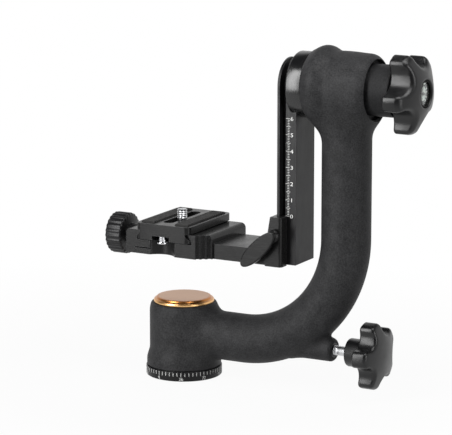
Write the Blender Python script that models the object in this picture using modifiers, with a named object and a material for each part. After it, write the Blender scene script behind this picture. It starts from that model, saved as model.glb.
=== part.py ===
"""Gimbal tripod head: a curved arm that pans on a short base, with a swinging camera platform.

The pan axis is Z and the tilt axis is parallel to X, so the camera looks along -Y.
The origin is on the pan axis, in the plane of the base's underside. Units are metres.
"""
import math

import bmesh
import bpy
from mathutils import Matrix, Vector

# Fits and mesh fineness
GAP = 0.0003
OVERRUN = 0.001
MERGE = 0.000005
HEX_SHARE = 0.85
ROUND_SIDES = 28
SMALL_SIDES = 12
BORE_SIDES = 32
FLAT_ANGLE = math.radians(0.1)
SHARP_ANGLE = math.radians(32)
PLAIN = (0, 0, 0)
FACING_X = (math.pi / 2, 0, math.pi / 2)
FACING_Y = (math.pi / 2, 0, 0)
ALONG_X = (0, math.pi / 2, 0)

# Base plate with its degree scale, and what it is screwed to
BASE_RADIUS = 0.0239
BASE_HEIGHT = 0.0064
BASE_CHAMFER = 0.0007
BASE_SCREW_CIRCLE = 0.0138
BASE_SCREW_COUNT = 3
BASE_SCREW_RADIUS = 0.002
BASE_SCREW_HEAD = 0.0038
BASE_SCREW_GRIP = 0.0022
THREAD_RADIUS = 0.00476
THREAD_BUSH_RADIUS = 0.0062
THREAD_BUSH_HEIGHT = 0.0095
REDUCER_RADIUS = 0.0044
REDUCER_BORE = 0.003175
REDUCER_HEIGHT = 0.0085
REDUCER_SLOT_WIDTH = 0.0014
REDUCER_SLOT_DEPTH = 0.0015

# Pan spindle, its bushes and its nut, and the tilt bearings
SPINDLE_RADIUS = 0.008
SPINDLE_FLANGE_RADIUS = 0.0185
SPINDLE_FLANGE_HEIGHT = 0.0031
SPINDLE_COLLAR_RADIUS = 0.0096
SPINDLE_COLLAR_HEIGHT = 0.0021
SPINDLE_TOP_SPARE = 0.0003
WASHER_THICKNESS = 0.001
BEARING_WIDTH = 0.007
BEARING_RADIUS = 0.015
BEARING_OUTER_BORE = 0.0134
BEARING_INNER_RADIUS = 0.01
BALL_RADIUS = 0.0014
CAGE_THICKNESS = 0.0008
CAGE_WIDTH = 0.0016
BALL_COUNT = 6
NUT_RADIUS = 0.0115
NUT_HEIGHT = 0.0031
NUT_NOTCHES = 4
NUT_NOTCH_WIDTH = 0.003
NUT_NOTCH_DEPTH = 0.0012
BRAKE_SLEEVE_RADIUS = 0.0104
BRAKE_SLEEVE_HEIGHT = 0.0159
CAVITY_RADIUS = 0.0125

# Arm casting
ARM_RADIUS = 0.0152
ARM_REACH = 0.113
ARM_LIFT = 0.00535
ARM_BEND = 0.0702
ARM_SIDES_SETTING = 6
ARM_BEND_STEPS = 14
HOUSING_RADIUS = 0.0216
HOUSING_FOOT_RADIUS = 0.0234
HOUSING_FOOT_HEIGHT = 0.003
HOUSING_FLARE = 0.0082
HOUSING_TOP_RADIUS = 0.0198
HOUSING_SHOULDER = 0.0062
PAN_SEAM = 0.0005
FLARE_GAIN = 0.0052
FLARE_LENGTH = 0.011
FOOT_FLARE_GAIN = 0.0026
FOOT_FLARE_LENGTH = 0.006
FLARE_STEPS = 3
TILT_HEIGHT = 0.1905
BARREL_RADIUS = 0.0214
BARREL_LEFT = 0.0211
BARREL_RIGHT = 0.0206
BARREL_ROUNDING = 0.0066
BARREL_GROOVE_RADIUS = 0.0181
BARREL_GROOVE_DEPTH = 0.0047
BULGE_RADIUS = 0.0247
BULGE_ROUNDING = 0.0073
BULGE_FACE_RADIUS = 0.0188
BOSS_RADIUS = 0.0073
BOSS_SETBACK = 0.0067
BOSS_LENGTH = 0.0283
BOSS_ROUNDING = 0.0034

# Cap over the spindle
CAP_RADIUS = 0.01906
CAP_TOP_RADIUS = 0.0168
CAP_RIM = 0.0011
CAP_HEIGHT = 0.0033
CAP_SKIRT_RADIUS = 0.017
CAP_SKIRT_BORE = 0.0142
CAP_SKIRT_LENGTH = 0.0034
CAP_WALL = 0.0019

# Pan lock: pad, rod, threaded insert and knob
LOCK_ROD_RADIUS = 0.003
LOCK_PAD_RADIUS = 0.0045
LOCK_PAD_LENGTH = 0.0046
LOCK_INSERT_RADIUS = 0.0049
LOCK_INSERT_LENGTH = 0.011
PAN_KNOB_CLEARANCE = 0.0095
PAN_KNOB_HUB_RADIUS = 0.0087
PAN_KNOB_HUB_LENGTH = 0.012
PAN_KNOB_RADIUS = 0.0209
PAN_KNOB_WAIST = 0.0135
PAN_KNOB_VALLEY = 0.0085
PAN_KNOB_CORNER = 0.0026
PAN_KNOB_THICKNESS = 0.0098
PAN_KNOB_PHASE = math.radians(-16)
KNOB_LOBES = 5
KNOB_EDGE = 0.0012
CORNER_STEPS = 2
VALLEY_STEPS = 5
KNOB_SCREW_DEPTH_SHARE = 0.55

# Tilt lock: end collar, pad, stud and knob
COLLAR_RADIUS = 0.0157
COLLAR_LENGTH = 0.0172
COLLAR_PLUG_BORE = 0.0123
TILT_PAD_RADIUS = 0.006
TILT_PAD_LENGTH = 0.0045
TILT_PAD_TRAVEL = 0.00125
TILT_STUD_RADIUS = 0.004
TILT_KNOB_CLEARANCE = 0.0006
TILT_KNOB_RADIUS = 0.0253
TILT_KNOB_WAIST = 0.0155
TILT_KNOB_VALLEY = 0.01
TILT_KNOB_CORNER = 0.003
TILT_KNOB_THICKNESS = 0.0132
TILT_KNOB_DOME = 0.0046
TILT_KNOB_DOME_FOOT = 0.0168
TILT_KNOB_DOME_TOP = 0.0102
TILT_KNOB_PHASE = math.radians(-28)
TILT_STUD_GRIP = 0.0088

# Compass in the tilt lock knob
COMPASS_RADIUS = 0.0081
COMPASS_HEIGHT = 0.0049
COMPASS_WALL = 0.0008
COMPASS_SINK = 0.0012
COMPASS_CARD_RADIUS = 0.0067
COMPASS_CARD_THICKNESS = 0.0005
COMPASS_CARD_LIFT = 0.0011
COMPASS_CARD_BORE = 0.0008
COMPASS_PIN_RADIUS = 0.0004
COMPASS_LENS_THICKNESS = 0.0007

# Tilt hub and shaft
HUB_RADIUS = 0.0201
HUB_THICKNESS = 0.0103
HUB_CHAMFER = 0.0009
HUB_CLEARANCE = 0.0006
SHAFT_COLLAR_RADIUS = 0.0105
HUB_BOLT_RADIUS = 0.003
HUB_BOLT_HEAD = 0.0052
HUB_BOLT_GRIP = 0.014

# Swing rail: a dovetail flange, a waist and a body
RAIL_LENGTH = 0.110
RAIL_FLANGE_WIDTH = 0.032
RAIL_FLANGE_THICKNESS = 0.0017
RAIL_WAIST_WIDTH = 0.020
RAIL_GROOVE = 0.0022
RAIL_BODY_WIDTH = 0.0246
RAIL_BODY_THICKNESS = 0.0071
RAIL_SEAT_DEPTH = 0.0042
RAIL_SCREW_RADIUS = 0.0018
RAIL_SCREW_HEAD = 0.0034
RAIL_SCREW_GRIP = 0.0045
RAIL_SCREW_ALONG = 0.0125
RAIL_SCREW_ACROSS = 0.0055
RAIL_EDGE = 0.0004

# Height carriage, its gib and its lever
CARRIAGE_DEPTH = 0.040
CARRIAGE_HEIGHT = 0.0308
CARRIAGE_TOP_THICKNESS = 0.0077
CARRIAGE_FOOT_THICKNESS = 0.0112
CARRIAGE_LIP = 0.0031
CARRIAGE_SLOPE_START = 0.0095
CARRIAGE_EDGE = 0.0008
GIB_THICKNESS = 0.0017
GIB_WIDTH = 0.0014
GIB_LENGTH = 0.016
GIB_TRAVEL = 0.0005
LEVER_SCREW_RADIUS = 0.0024
LEVER_SCREW_HEIGHT = 0.0198
LEVER_HUB_RADIUS = 0.0037
LEVER_HUB_LENGTH = 0.0036
LEVER_LENGTH = 0.0305
LEVER_WIDTH = 0.0106
LEVER_THICKNESS = 0.0034
LEVER_EDGE = 0.0011
LEVER_ANGLE = math.radians(225)
LEVER_CLEARANCE = 0.0006

# Camera platform with its fixed jaw
PLATFORM_DROP = 0.0005
PLATFORM_THICKNESS = 0.0095
PLATFORM_WIDTH = 0.0346
PLATFORM_SCREW_RADIUS = 0.0025
PLATFORM_SCREW_HEAD = 0.0043
PLATFORM_SCREW_HEAD_HEIGHT = 0.003
PLATFORM_SCREW_LENGTH = 0.016
PLATFORM_SCREW_SPACING = 0.018
CLAMP_CENTRE = 0.0
CLAMP_LENGTH = 0.050
CLAMP_REAR = 0.0306
JAW_HEIGHT = 0.0055
JAW_ROUNDING = 0.0032
CORNER_CUT_ALONG = 0.0088
CORNER_CUT_ACROSS = 0.0062
FLUTE_RADIUS = 0.0012
FLUTE_COUNT = 3
SCOOP_WIDTH = 0.0175
SCOOP_PLACE = -0.0012
SCOOP_DEPTH = 0.0045

# Moving jaw, its pins, its screw and its knob
JAW_THICKNESS = 0.0077
JAW_FOOT_LENGTH = 0.0093
JAW_FOOT_HEIGHT = 0.0053
JAW_POST = 0.0062
JAW_TONGUE_WIDTH = 0.0166
PIN_RADIUS = 0.0018
PIN_SPREAD = 0.034
PIN_LENGTH = 0.026
PIN_GRIP = 0.013
CLAMP_SCREW_RADIUS = 0.0025
CLAMP_SCREW_LENGTH = 0.058
CLAMP_SCREW_HEIGHT = 0.006
CLAMP_HUB_RADIUS = 0.0065
CLAMP_HUB_LENGTH = 0.0114
CLAMP_KNOB_RADIUS = 0.013
CLAMP_KNOB_LENGTH = 0.0115
CLAMP_KNOB_RIBS = 24
CLAMP_KNOB_RIB_DEPTH = 0.0004
CLAMP_KNOB_EDGE = 0.0006

# Quick plate with its rubber strips and camera screw
PLATE_WIDTH = 0.038
PLATE_LENGTH = 0.055
PLATE_THICKNESS = 0.0102
PLATE_FLANGE = 0.0045
PLATE_FOOT_EDGE = 0.0012
PLATE_DOVETAIL = 0.003
PLATE_CORNER = 0.0022
PLATE_CHANNEL_WIDTH = 0.0120
PLATE_CHANNEL_PLACE = -0.0011
PLATE_CHANNEL_DEPTH = 0.0027
PLATE_SLOT_WIDTH = 0.0070
PLATE_SLOT_MARGIN = 0.0075
PAD_INSET = 0.0026
PAD_WIDTH = 0.0092
PAD_MARGIN = 0.0035
PAD_THICKNESS = 0.0016
PAD_SINK = 0.0009
SCREW_RADIUS = 0.003175
SCREW_STAND = 0.0054
SCREW_HEAD_RADIUS = 0.0052
SCREW_HEAD_HEIGHT = 0.0013
SCREW_WASHER_RADIUS = 0.0048
SCREW_WASHER_THICKNESS = 0.0004
SCREW_SLOT_WIDTH = 0.0012
SCREW_SLOT_DEPTH = 0.0007
SCREW_PLACE = 0.0
STOP_RADIUS = 0.00245
STOP_HEAD_RADIUS = 0.0037
STOP_HEAD_HEIGHT = 0.0011
STOP_HEAD_DROP = 0.0026
STOP_SETBACK = 0.003
STOP_GRIP = 0.004

for old in list(bpy.data.objects):
    bpy.data.objects.remove(old, do_unlink=True)

PARTS = bpy.data.collections.new("gimbal_head")
CUTTERS = bpy.data.collections.new("cutters")
for group in (PARTS, CUTTERS):
    bpy.context.scene.collection.children.link(group)


def material(name, colour, roughness, metallic=0.0):
    """A Principled material with a linear colour."""
    made = bpy.data.materials.new(name)
    made.use_nodes = True
    shader = made.node_tree.nodes["Principled BSDF"]
    shader.inputs["Base Color"].default_value = (*colour, 1.0)
    shader.inputs["Roughness"].default_value = roughness
    shader.inputs["Metallic"].default_value = metallic
    return made


COATED = material("coated_casting", (0.026, 0.026, 0.027), 0.62)
ANODISED = material("black_anodised", (0.022, 0.022, 0.023), 0.34, 0.6)
GOLD = material("gold_anodised", (0.56, 0.33, 0.18), 0.28, 1.0)
STEEL = material("steel", (0.52, 0.52, 0.53), 0.28, 1.0)
BRASS = material("brass", (0.55, 0.40, 0.16), 0.3, 1.0)
NYLON = material("nylon", (0.72, 0.70, 0.64), 0.5)
MOULDED = material("moulded_plastic", (0.02, 0.02, 0.021), 0.4)
RUBBER = material("rubber", (0.012, 0.012, 0.012), 0.8)
CARD = material("compass_card", (0.7, 0.76, 0.7), 0.5)
CLEAR = material("clear_plastic", (0.85, 0.9, 0.9), 0.05)


def add_object(name, mesh, place=(0, 0, 0), turn=PLAIN):
    """A mesh object in the cutters' collection; keep() moves it to the parts."""
    made = bpy.data.objects.new(name, mesh)
    made.location = place
    made.rotation_euler = turn
    made.hide_render = True
    made.display_type = "WIRE"
    CUTTERS.objects.link(made)
    return made


def smooth(mesh):
    """Smooth shading that keeps the sharp edges sharp."""
    mesh.shade_smooth()
    mesh.set_sharp_from_angle(angle=SHARP_ANGLE)


def block(name, low, high):
    """A box between two corners."""
    size = [b - a for a, b in zip(low, high)]
    centre = [(a + b) / 2 for a, b in zip(low, high)]
    solid = bmesh.new()
    bmesh.ops.create_cube(solid, size=1.0, matrix=Matrix.Diagonal((*size, 1.0)))
    mesh = bpy.data.meshes.new(name)
    solid.to_mesh(mesh)
    solid.free()
    return add_object(name, mesh, centre)


def turned(name, profile, place=(0, 0, 0), turn=PLAIN, ring=False, steps=ROUND_SIDES):
    """A lathe profile of (radius, height) points, run down its outer side."""
    count = len(profile)
    edges = [(i, i + 1) for i in range(count - 1)]
    if ring:
        edges.append((count - 1, 0))
    mesh = bpy.data.meshes.new(name)
    mesh.from_pydata([(radius, 0, height) for radius, height in profile], edges, [])
    made = add_object(name, mesh, place, turn)
    screw = made.modifiers.new("lathe", "SCREW")
    screw.axis = "Z"
    screw.angle = math.tau
    screw.steps = steps
    screw.render_steps = steps
    screw.use_merge_vertices = True
    screw.merge_threshold = MERGE
    screw.use_smooth_shade = False
    return made


def rod(name, radius, low, high, place=(0, 0, 0), turn=PLAIN, steps=SMALL_SIDES):
    """A plain round bar between two heights on its axis."""
    return turned(name, [(0, high), (radius, high), (radius, low), (0, low)], place, turn, steps=steps)


def tube(name, radius, bore, low, high, place=(0, 0, 0), turn=PLAIN, steps=ROUND_SIDES):
    """A plain round sleeve between two heights on its axis."""
    profile = [(radius, high), (radius, low), (bore, low), (bore, high)]
    return turned(name, profile, place, turn, True, steps)


def settle(made):
    """The object's evaluated mesh as a new mesh object with whole flat faces; the old object goes."""
    bpy.context.view_layer.update()
    graph = bpy.context.evaluated_depsgraph_get()
    mesh = bpy.data.meshes.new_from_object(made.evaluated_get(graph))
    solid = bmesh.new()
    solid.from_mesh(mesh)
    bmesh.ops.remove_doubles(solid, verts=solid.verts, dist=MERGE)
    bmesh.ops.dissolve_limit(solid, angle_limit=FLAT_ANGLE, verts=solid.verts, edges=solid.edges)
    bmesh.ops.recalc_face_normals(solid, faces=solid.faces)
    solid.to_mesh(mesh)
    solid.free()
    name, place, turn = made.name, made.location.copy(), made.rotation_euler.copy()
    bpy.data.objects.remove(made)
    return add_object(name, mesh, place, turn)


def flat(name, outline, low, high, place=(0, 0, 0), turn=PLAIN, edge=0.0, resolution=0):
    """A closed outline of (x, y) points, extruded between two heights, with its rims rounded by edge."""
    curve = bpy.data.curves.new(name, "CURVE")
    curve.dimensions = "2D"
    curve.fill_mode = "BOTH"
    curve.extrude = (high - low) / 2 - edge
    curve.bevel_depth = edge
    curve.bevel_resolution = resolution
    curve.offset = -edge
    line = curve.splines.new("POLY")
    line.points.add(len(outline) - 1)
    for point, (x, y) in zip(line.points, outline):
        point.co = (x, y, 0, 1)
    line.use_cyclic_u = True
    made = add_object(name, curve)
    made = settle(made)
    made.data.transform(Matrix.Translation((0, 0, (low + high) / 2)))
    made.location = place
    made.rotation_euler = turn
    return made


def boolean(target, operation, *tools):
    """Cut or join the tools into the target with exact Booleans."""
    for tool in tools:
        step = target.modifiers.new(tool.name, "BOOLEAN")
        step.object = tool
        step.operation = operation
        step.solver = "EXACT"
    return target


def cut(target, *tools):
    return boolean(target, "DIFFERENCE", *tools)


def unite(target, *tools):
    return boolean(target, "UNION", *tools)


def axis_empty(name, place):
    """An empty on a joint's axis, which carries the pieces of one moving body."""
    made = bpy.data.objects.new(name, None)
    made.location = place
    PARTS.objects.link(made)
    return made


def keep(made, name, finish, carrier):
    """Name a finished piece, give it its material and hang it on its body's empty."""
    made.name = name
    made.data.name = name
    made.data.materials.clear()
    made.data.materials.append(finish)
    CUTTERS.objects.unlink(made)
    PARTS.objects.link(made)
    made.hide_render = False
    made.display_type = "TEXTURED"
    made.parent = carrier
    made.matrix_parent_inverse = Matrix.Translation(-carrier.location)
    for step in made.modifiers:
        if step.type == "SCREW":
            step.use_smooth_shade = True
    if made.data.polygons:
        smooth(made.data)
    return made


def arc(centre_x, centre_y, radius, start, end, steps):
    """Points on an arc, both ends included."""
    turns = [start + (end - start) * i / steps for i in range(steps + 1)]
    return [(centre_x + radius * math.cos(t), centre_y + radius * math.sin(t)) for t in turns]


def star_outline(radius, waist, valley, corner, phase):
    """Outline of a lobed knob: each lobe has a tip arc, two corners and half a valley each side."""
    valley_centre = waist + valley
    corner_centre = radius - corner
    spread = valley + corner
    cosine = (valley_centre ** 2 + corner_centre ** 2 - spread ** 2) / (2 * valley_centre * corner_centre)
    offset = math.acos(max(-1.0, min(1.0, cosine)))
    half = math.pi / KNOB_LOBES
    points = []
    for lobe in range(KNOB_LOBES):
        middle = math.pi / 2 - phase + math.tau * lobe / KNOB_LOBES
        valley_turn = middle + half
        valley_x = valley_centre * math.cos(valley_turn)
        valley_y = valley_centre * math.sin(valley_turn)
        left_turn = valley_turn - offset
        left_x = corner_centre * math.cos(left_turn)
        left_y = corner_centre * math.sin(left_turn)
        right_turn = valley_turn + offset
        right_x = corner_centre * math.cos(right_turn)
        right_y = corner_centre * math.sin(right_turn)
        contact = left_turn + (math.atan2(valley_y - left_y, valley_x - left_x) - left_turn) % math.tau
        points += arc(left_x, left_y, corner, left_turn, contact, CORNER_STEPS)
        start = contact + math.pi
        end = start - (start - math.atan2(right_y - valley_y, right_x - valley_x)) % math.tau
        points += arc(valley_x, valley_y, valley, start, end, VALLEY_STEPS)[1:-1]
        back = right_turn - (right_turn - end - math.pi) % math.tau
        points += arc(right_x, right_y, corner, back, right_turn, CORNER_STEPS)
    return points


# Heights and places that several pieces share
arm_low = BASE_HEIGHT + PAN_SEAM
arm_height = arm_low + ARM_LIFT + ARM_RADIUS
boss_end = ARM_REACH - BOSS_SETBACK
flange_low = BASE_HEIGHT + GAP
flange_high = flange_low + SPINDLE_FLANGE_HEIGHT
collar_high = flange_high + SPINDLE_COLLAR_HEIGHT
washer_low = flange_high + GAP
washer_high = washer_low + WASHER_THICKNESS
shoulder = washer_high + GAP
lower_ring_low = collar_high + GAP
sleeve_low = arm_height - BRAKE_SLEEVE_HEIGHT / 2
sleeve_high = arm_height + BRAKE_SLEEVE_HEIGHT / 2
lower_ring_high = sleeve_low - GAP
upper_ring_low = sleeve_high + GAP
upper_ring_high = upper_ring_low + BEARING_WIDTH
nut_low = upper_ring_high + GAP
nut_high = nut_low + NUT_HEIGHT
spindle_top = nut_high + SPINDLE_TOP_SPARE
housing_top = nut_high + GAP
cap_low = housing_top + GAP
cap_high = cap_low + CAP_HEIGHT

barrel_left = ARM_REACH - BARREL_LEFT
barrel_right = ARM_REACH + BARREL_RIGHT
hub_right = barrel_left - HUB_CLEARANCE
hub_left = hub_right - HUB_THICKNESS
seat_floor = hub_left + RAIL_SEAT_DEPTH
rail_right = seat_floor - GAP
body_left = rail_right - RAIL_BODY_THICKNESS
flange_right = body_left - RAIL_GROOVE
rail_left = flange_right - RAIL_FLANGE_THICKNESS
rail_bottom = TILT_HEIGHT - RAIL_LENGTH
tilt_ring_left = hub_right + GAP + WASHER_THICKNESS + GAP
tilt_ring_left_end = tilt_ring_left + BEARING_WIDTH
groove_floor = barrel_right - BARREL_GROOVE_DEPTH
tilt_nut_right = groove_floor - WASHER_THICKNESS
tilt_nut_left = tilt_nut_right - NUT_HEIGHT
tilt_ring_right_end = tilt_nut_left - GAP
tilt_ring_right = tilt_ring_right_end - BEARING_WIDTH
shaft_left = seat_floor + GAP
shaft_right = tilt_nut_right + GAP
collar_right = groove_floor + GAP + COLLAR_LENGTH
tilt_pad_left = shaft_right + GAP
tilt_pad_right = tilt_pad_left + TILT_PAD_LENGTH
tilt_stud_left = tilt_pad_right + GAP
tilt_knob_left = collar_right + TILT_KNOB_CLEARANCE
tilt_knob_front = tilt_knob_left + TILT_KNOB_THICKNESS
tilt_knob_right = tilt_knob_front + TILT_KNOB_DOME
TILT_AXIS = (0, 0, TILT_HEIGHT)
LOCK_AXIS = (0, 0, arm_height)
sleeve_face = BRAKE_SLEEVE_RADIUS + GAP
lock_pad_end = sleeve_face + LOCK_PAD_LENGTH
lock_rod_left = lock_pad_end + GAP
pan_hub_left = boss_end + PAN_KNOB_CLEARANCE
pan_knob_left = pan_hub_left + PAN_KNOB_HUB_LENGTH
pan_knob_right = pan_knob_left + PAN_KNOB_THICKNESS

PAN_BUSHES = {"lower": (lower_ring_low, lower_ring_high), "upper": (upper_ring_low, upper_ring_high)}
TILT_RINGS = {"left": (tilt_ring_left, tilt_ring_left_end), "right": (tilt_ring_right, tilt_ring_right_end)}

platform_low = rail_bottom - PLATFORM_DROP
platform_high = platform_low + PLATFORM_THICKNESS
carriage_face = rail_left - GAP
carriage_right = flange_right + GAP + CARRIAGE_LIP
carriage_left = carriage_right - CARRIAGE_FOOT_THICKNESS
carriage_high = platform_low + CARRIAGE_HEIGHT
carriage_half = CARRIAGE_DEPTH / 2
platform_right = carriage_left - GAP
plate_low = platform_high + GAP
plate_high = plate_low + PLATE_THICKNESS
plate_half = PLATE_WIDTH / 2
waist_low = plate_low + PLATE_FOOT_EDGE + PLATE_DOVETAIL
flange_under = plate_high - PLATE_FLANGE
jaw_top = platform_high + JAW_HEIGHT
clamp_half = CLAMP_LENGTH / 2
jaw_inner = plate_half + GAP
lip_inner = jaw_inner - PLATE_DOVETAIL
slope_start = plate_low + PLATE_FOOT_EDGE - GAP / 2
lip_start = slope_start + PLATE_DOVETAIL
fixed_outer = CLAMP_REAR
moving_outer = CLAMP_CENTRE - jaw_inner - JAW_THICKNESS
post_inner = moving_outer + JAW_POST
foot_end = CLAMP_CENTRE - jaw_inner + JAW_FOOT_LENGTH
platform_left = foot_end + GAP
foot_low = platform_high - JAW_FOOT_HEIGHT
clamp_axis = platform_low + CLAMP_SCREW_HEIGHT
clamp_hub_right = moving_outer - GAP
clamp_hub_left = clamp_hub_right - CLAMP_HUB_LENGTH
clamp_knob_left = clamp_hub_left - CLAMP_KNOB_LENGTH

lever_height = platform_low + LEVER_SCREW_HEIGHT
gib_front = -(RAIL_FLANGE_WIDTH / 2 + GAP)
gib_back = gib_front - GIB_THICKNESS
pocket_back = gib_back - GIB_TRAVEL - GAP
gib_middle = (rail_left + flange_right) / 2
lever_hub_back = -(carriage_half + LEVER_CLEARANCE)
lever_hub_front = lever_hub_back - LEVER_HUB_LENGTH
lever_front = lever_hub_front - LEVER_THICKNESS

base_axis = axis_empty("base_origin", Vector((0, 0, 0)))
pan_axis = axis_empty("pan_axis", Vector((0, 0, arm_low)))
pan_lock_axis = axis_empty("pan_lock_axis", Vector((boss_end, 0, arm_height)))
tilt_axis = axis_empty("tilt_axis", Vector((hub_right, 0, TILT_HEIGHT)))
tilt_lock_axis = axis_empty("tilt_lock_axis", Vector((collar_right, 0, TILT_HEIGHT)))
height_axis = axis_empty("height_axis", Vector((rail_left, 0, platform_low)))
lever_axis = axis_empty("lever_axis", Vector((gib_middle, -carriage_half, lever_height)))
jaw_axis = axis_empty("jaw_axis", Vector((moving_outer, 0, clamp_axis)))
plate_axis = axis_empty("plate_axis", Vector((CLAMP_CENTRE, 0, plate_low)))
screw_axis = axis_empty("camera_screw_axis", Vector((PLATE_CHANNEL_PLACE, -SCREW_PLACE, plate_low)))


def countersunk(name, radius, head, top, tip, place, turn, sides=SMALL_SIDES):
    """A countersunk screw with a hexagon socket, its flat head at height top."""
    cone = head - radius
    below = top - cone if top > tip else top + cone
    profile = [(0, top), (head, top), (radius, below), (radius, tip), (0, tip)]
    if top < tip:
        profile.reverse()
    made = turned(name, profile, place, turn, steps=sides)
    depth = (top - tip) / abs(top - tip) * cone
    socket = [top - depth, top + depth / 2]
    key = rod(name + "_key", radius * HEX_SHARE, min(socket), max(socket), place, turn, 6)
    return settle(cut(made, key))


def circle_places(radius, count, start=0.0):
    turns = [start + math.tau * i / count for i in range(count)]
    return [(radius * math.cos(t), radius * math.sin(t)) for t in turns]


def make_base():
    """Base plate, threaded bush with its reducer, and the screws into the spindle."""
    profile = [
        (THREAD_BUSH_RADIUS + GAP, BASE_HEIGHT),
        (BASE_RADIUS - BASE_CHAMFER / 2, BASE_HEIGHT),
        (BASE_RADIUS, BASE_HEIGHT - BASE_CHAMFER / 2),
        (BASE_RADIUS, BASE_CHAMFER),
        (BASE_RADIUS - BASE_CHAMFER, 0),
        (THREAD_BUSH_RADIUS + GAP, 0),
    ]
    plate = turned("plate_blank", profile, ring=True, steps=ROUND_SIDES + SMALL_SIDES)
    tip = BASE_HEIGHT + BASE_SCREW_GRIP
    for i, (x, y) in enumerate(circle_places(BASE_SCREW_CIRCLE, BASE_SCREW_COUNT, math.pi / 6)):
        place = (x, y, 0)
        hole = rod(f"base_hole_{i}", BASE_SCREW_RADIUS + GAP, -OVERRUN, BASE_HEIGHT + OVERRUN, place)
        sink_depth = BASE_SCREW_HEAD - BASE_SCREW_RADIUS + GAP
        sink = turned(f"base_sink_{i}", [
            (0, sink_depth), (BASE_SCREW_RADIUS + GAP, sink_depth),
            (BASE_SCREW_HEAD + GAP, 0), (BASE_SCREW_HEAD + GAP, -OVERRUN), (0, -OVERRUN),
        ], place, steps=SMALL_SIDES)
        cut(plate, hole, sink)
        screw = countersunk("screw", BASE_SCREW_RADIUS, BASE_SCREW_HEAD, GAP / 2, tip, place, PLAIN)
        keep(screw, f"base_screw_{i + 1}", STEEL, base_axis)
    keep(plate, "base_plate", ANODISED, base_axis)
    bush = tube("bush", THREAD_BUSH_RADIUS, THREAD_RADIUS, GAP, GAP + THREAD_BUSH_HEIGHT)
    keep(bush, "thread_bush", STEEL, base_axis)
    reducer = tube("reducer", REDUCER_RADIUS, REDUCER_BORE, GAP * 2, GAP * 2 + REDUCER_HEIGHT,
                   steps=SMALL_SIDES + SMALL_SIDES // 2)
    reach = REDUCER_RADIUS + OVERRUN
    slot = block("reducer_slot", (-reach, -REDUCER_SLOT_WIDTH / 2, 0),
                 (reach, REDUCER_SLOT_WIDTH / 2, GAP * 2 + REDUCER_SLOT_DEPTH))
    keep(cut(reducer, slot), "reducer_bush", BRASS, base_axis)


def make_spindle():
    """Spindle, brake sleeve and nut."""
    recess = GAP + THREAD_BUSH_HEIGHT + GAP
    spindle = turned("spindle", [
        (0, spindle_top), (SPINDLE_RADIUS, spindle_top),
        (SPINDLE_RADIUS, collar_high), (SPINDLE_COLLAR_RADIUS, collar_high),
        (SPINDLE_COLLAR_RADIUS, flange_high), (SPINDLE_FLANGE_RADIUS, flange_high),
        (SPINDLE_FLANGE_RADIUS, flange_low), (THREAD_BUSH_RADIUS + GAP, flange_low),
        (THREAD_BUSH_RADIUS + GAP, recess), (0, recess),
    ])
    for i, (x, y) in enumerate(circle_places(BASE_SCREW_CIRCLE, BASE_SCREW_COUNT, math.pi / 6)):
        cut(spindle, rod(f"spindle_hole_{i}", BASE_SCREW_RADIUS + GAP, BASE_HEIGHT - OVERRUN,
                         BASE_HEIGHT + BASE_SCREW_GRIP + GAP, (x, y, 0)))
    keep(spindle, "pan_spindle", STEEL, base_axis)
    bore = SPINDLE_RADIUS + GAP
    sleeve = tube("sleeve", BRAKE_SLEEVE_RADIUS, bore, sleeve_low, sleeve_high)
    keep(sleeve, "pan_brake_sleeve", STEEL, base_axis)
    keep(slotted_nut("nut", bore, nut_low, nut_high, (0, 0, 0), PLAIN), "pan_nut", STEEL, base_axis)


def slotted_nut(name, bore, low, high, place, turn):
    """A round nut with notches for a pin wrench in its rim."""
    nut = tube(name, NUT_RADIUS, bore, low, high, place, turn)
    for i in range(NUT_NOTCHES // 2):
        key = block(f"{name}_notch_{i}", (-NUT_RADIUS - OVERRUN, -NUT_NOTCH_WIDTH / 2, low - OVERRUN),
                    (NUT_RADIUS + OVERRUN, NUT_NOTCH_WIDTH / 2, high + OVERRUN))
        inner = tube(f"{name}_key_{i}", NUT_RADIUS + OVERRUN, NUT_RADIUS - NUT_NOTCH_DEPTH,
                     low - OVERRUN, high + OVERRUN, place, turn)
        spin = Matrix.Rotation(math.pi * i * 2 / NUT_NOTCHES, 4, "Z")
        key.data.transform(Matrix.Translation(key.location))
        key.data.transform(spin)
        key.location = place
        key.rotation_euler = turn
        inner.modifiers.new("slot", "BOOLEAN")
        inner.modifiers["slot"].operation = "INTERSECT"
        inner.modifiers["slot"].object = key
        inner.modifiers["slot"].solver = "EXACT"
        cut(nut, inner)
    return nut


def ball_cage(middle):
    """The balls of one tilt bearing in their cage, at one place on the axis."""
    path = (BEARING_OUTER_BORE + BEARING_INNER_RADIUS) / 2
    cage = tube("cage", path + CAGE_THICKNESS / 2, path - CAGE_THICKNESS / 2,
                middle - CAGE_WIDTH / 2, middle + CAGE_WIDTH / 2, TILT_AXIS, ALONG_X, BALL_COUNT * 2)
    spin = Matrix.Translation(TILT_AXIS) @ Matrix.Rotation(math.pi / 2, 4, "Y")
    for x, y in circle_places(path, BALL_COUNT, math.pi / BALL_COUNT):
        bpy.ops.mesh.primitive_ico_sphere_add(subdivisions=2, radius=BALL_RADIUS,
                                              location=spin @ Vector((x, y, middle)))
        ball = bpy.context.object
        for home in list(ball.users_collection):
            home.objects.unlink(ball)
        CUTTERS.objects.link(ball)
        ball.hide_render = True
        ball.display_type = "WIRE"
        unite(cage, ball)
    return settle(cage)


def arm_path():
    """Points down the middle of the arm: along the foot, round the bend and up."""
    centre_x = ARM_REACH - ARM_BEND
    centre_z = arm_height + ARM_BEND
    bend = arc(centre_x, centre_z, ARM_BEND, -math.pi / 2, 0, ARM_BEND_STEPS)
    return [(SPINDLE_FLANGE_RADIUS - ARM_RADIUS / 2, arm_height), *bend, (ARM_REACH, TILT_HEIGHT)]


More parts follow.
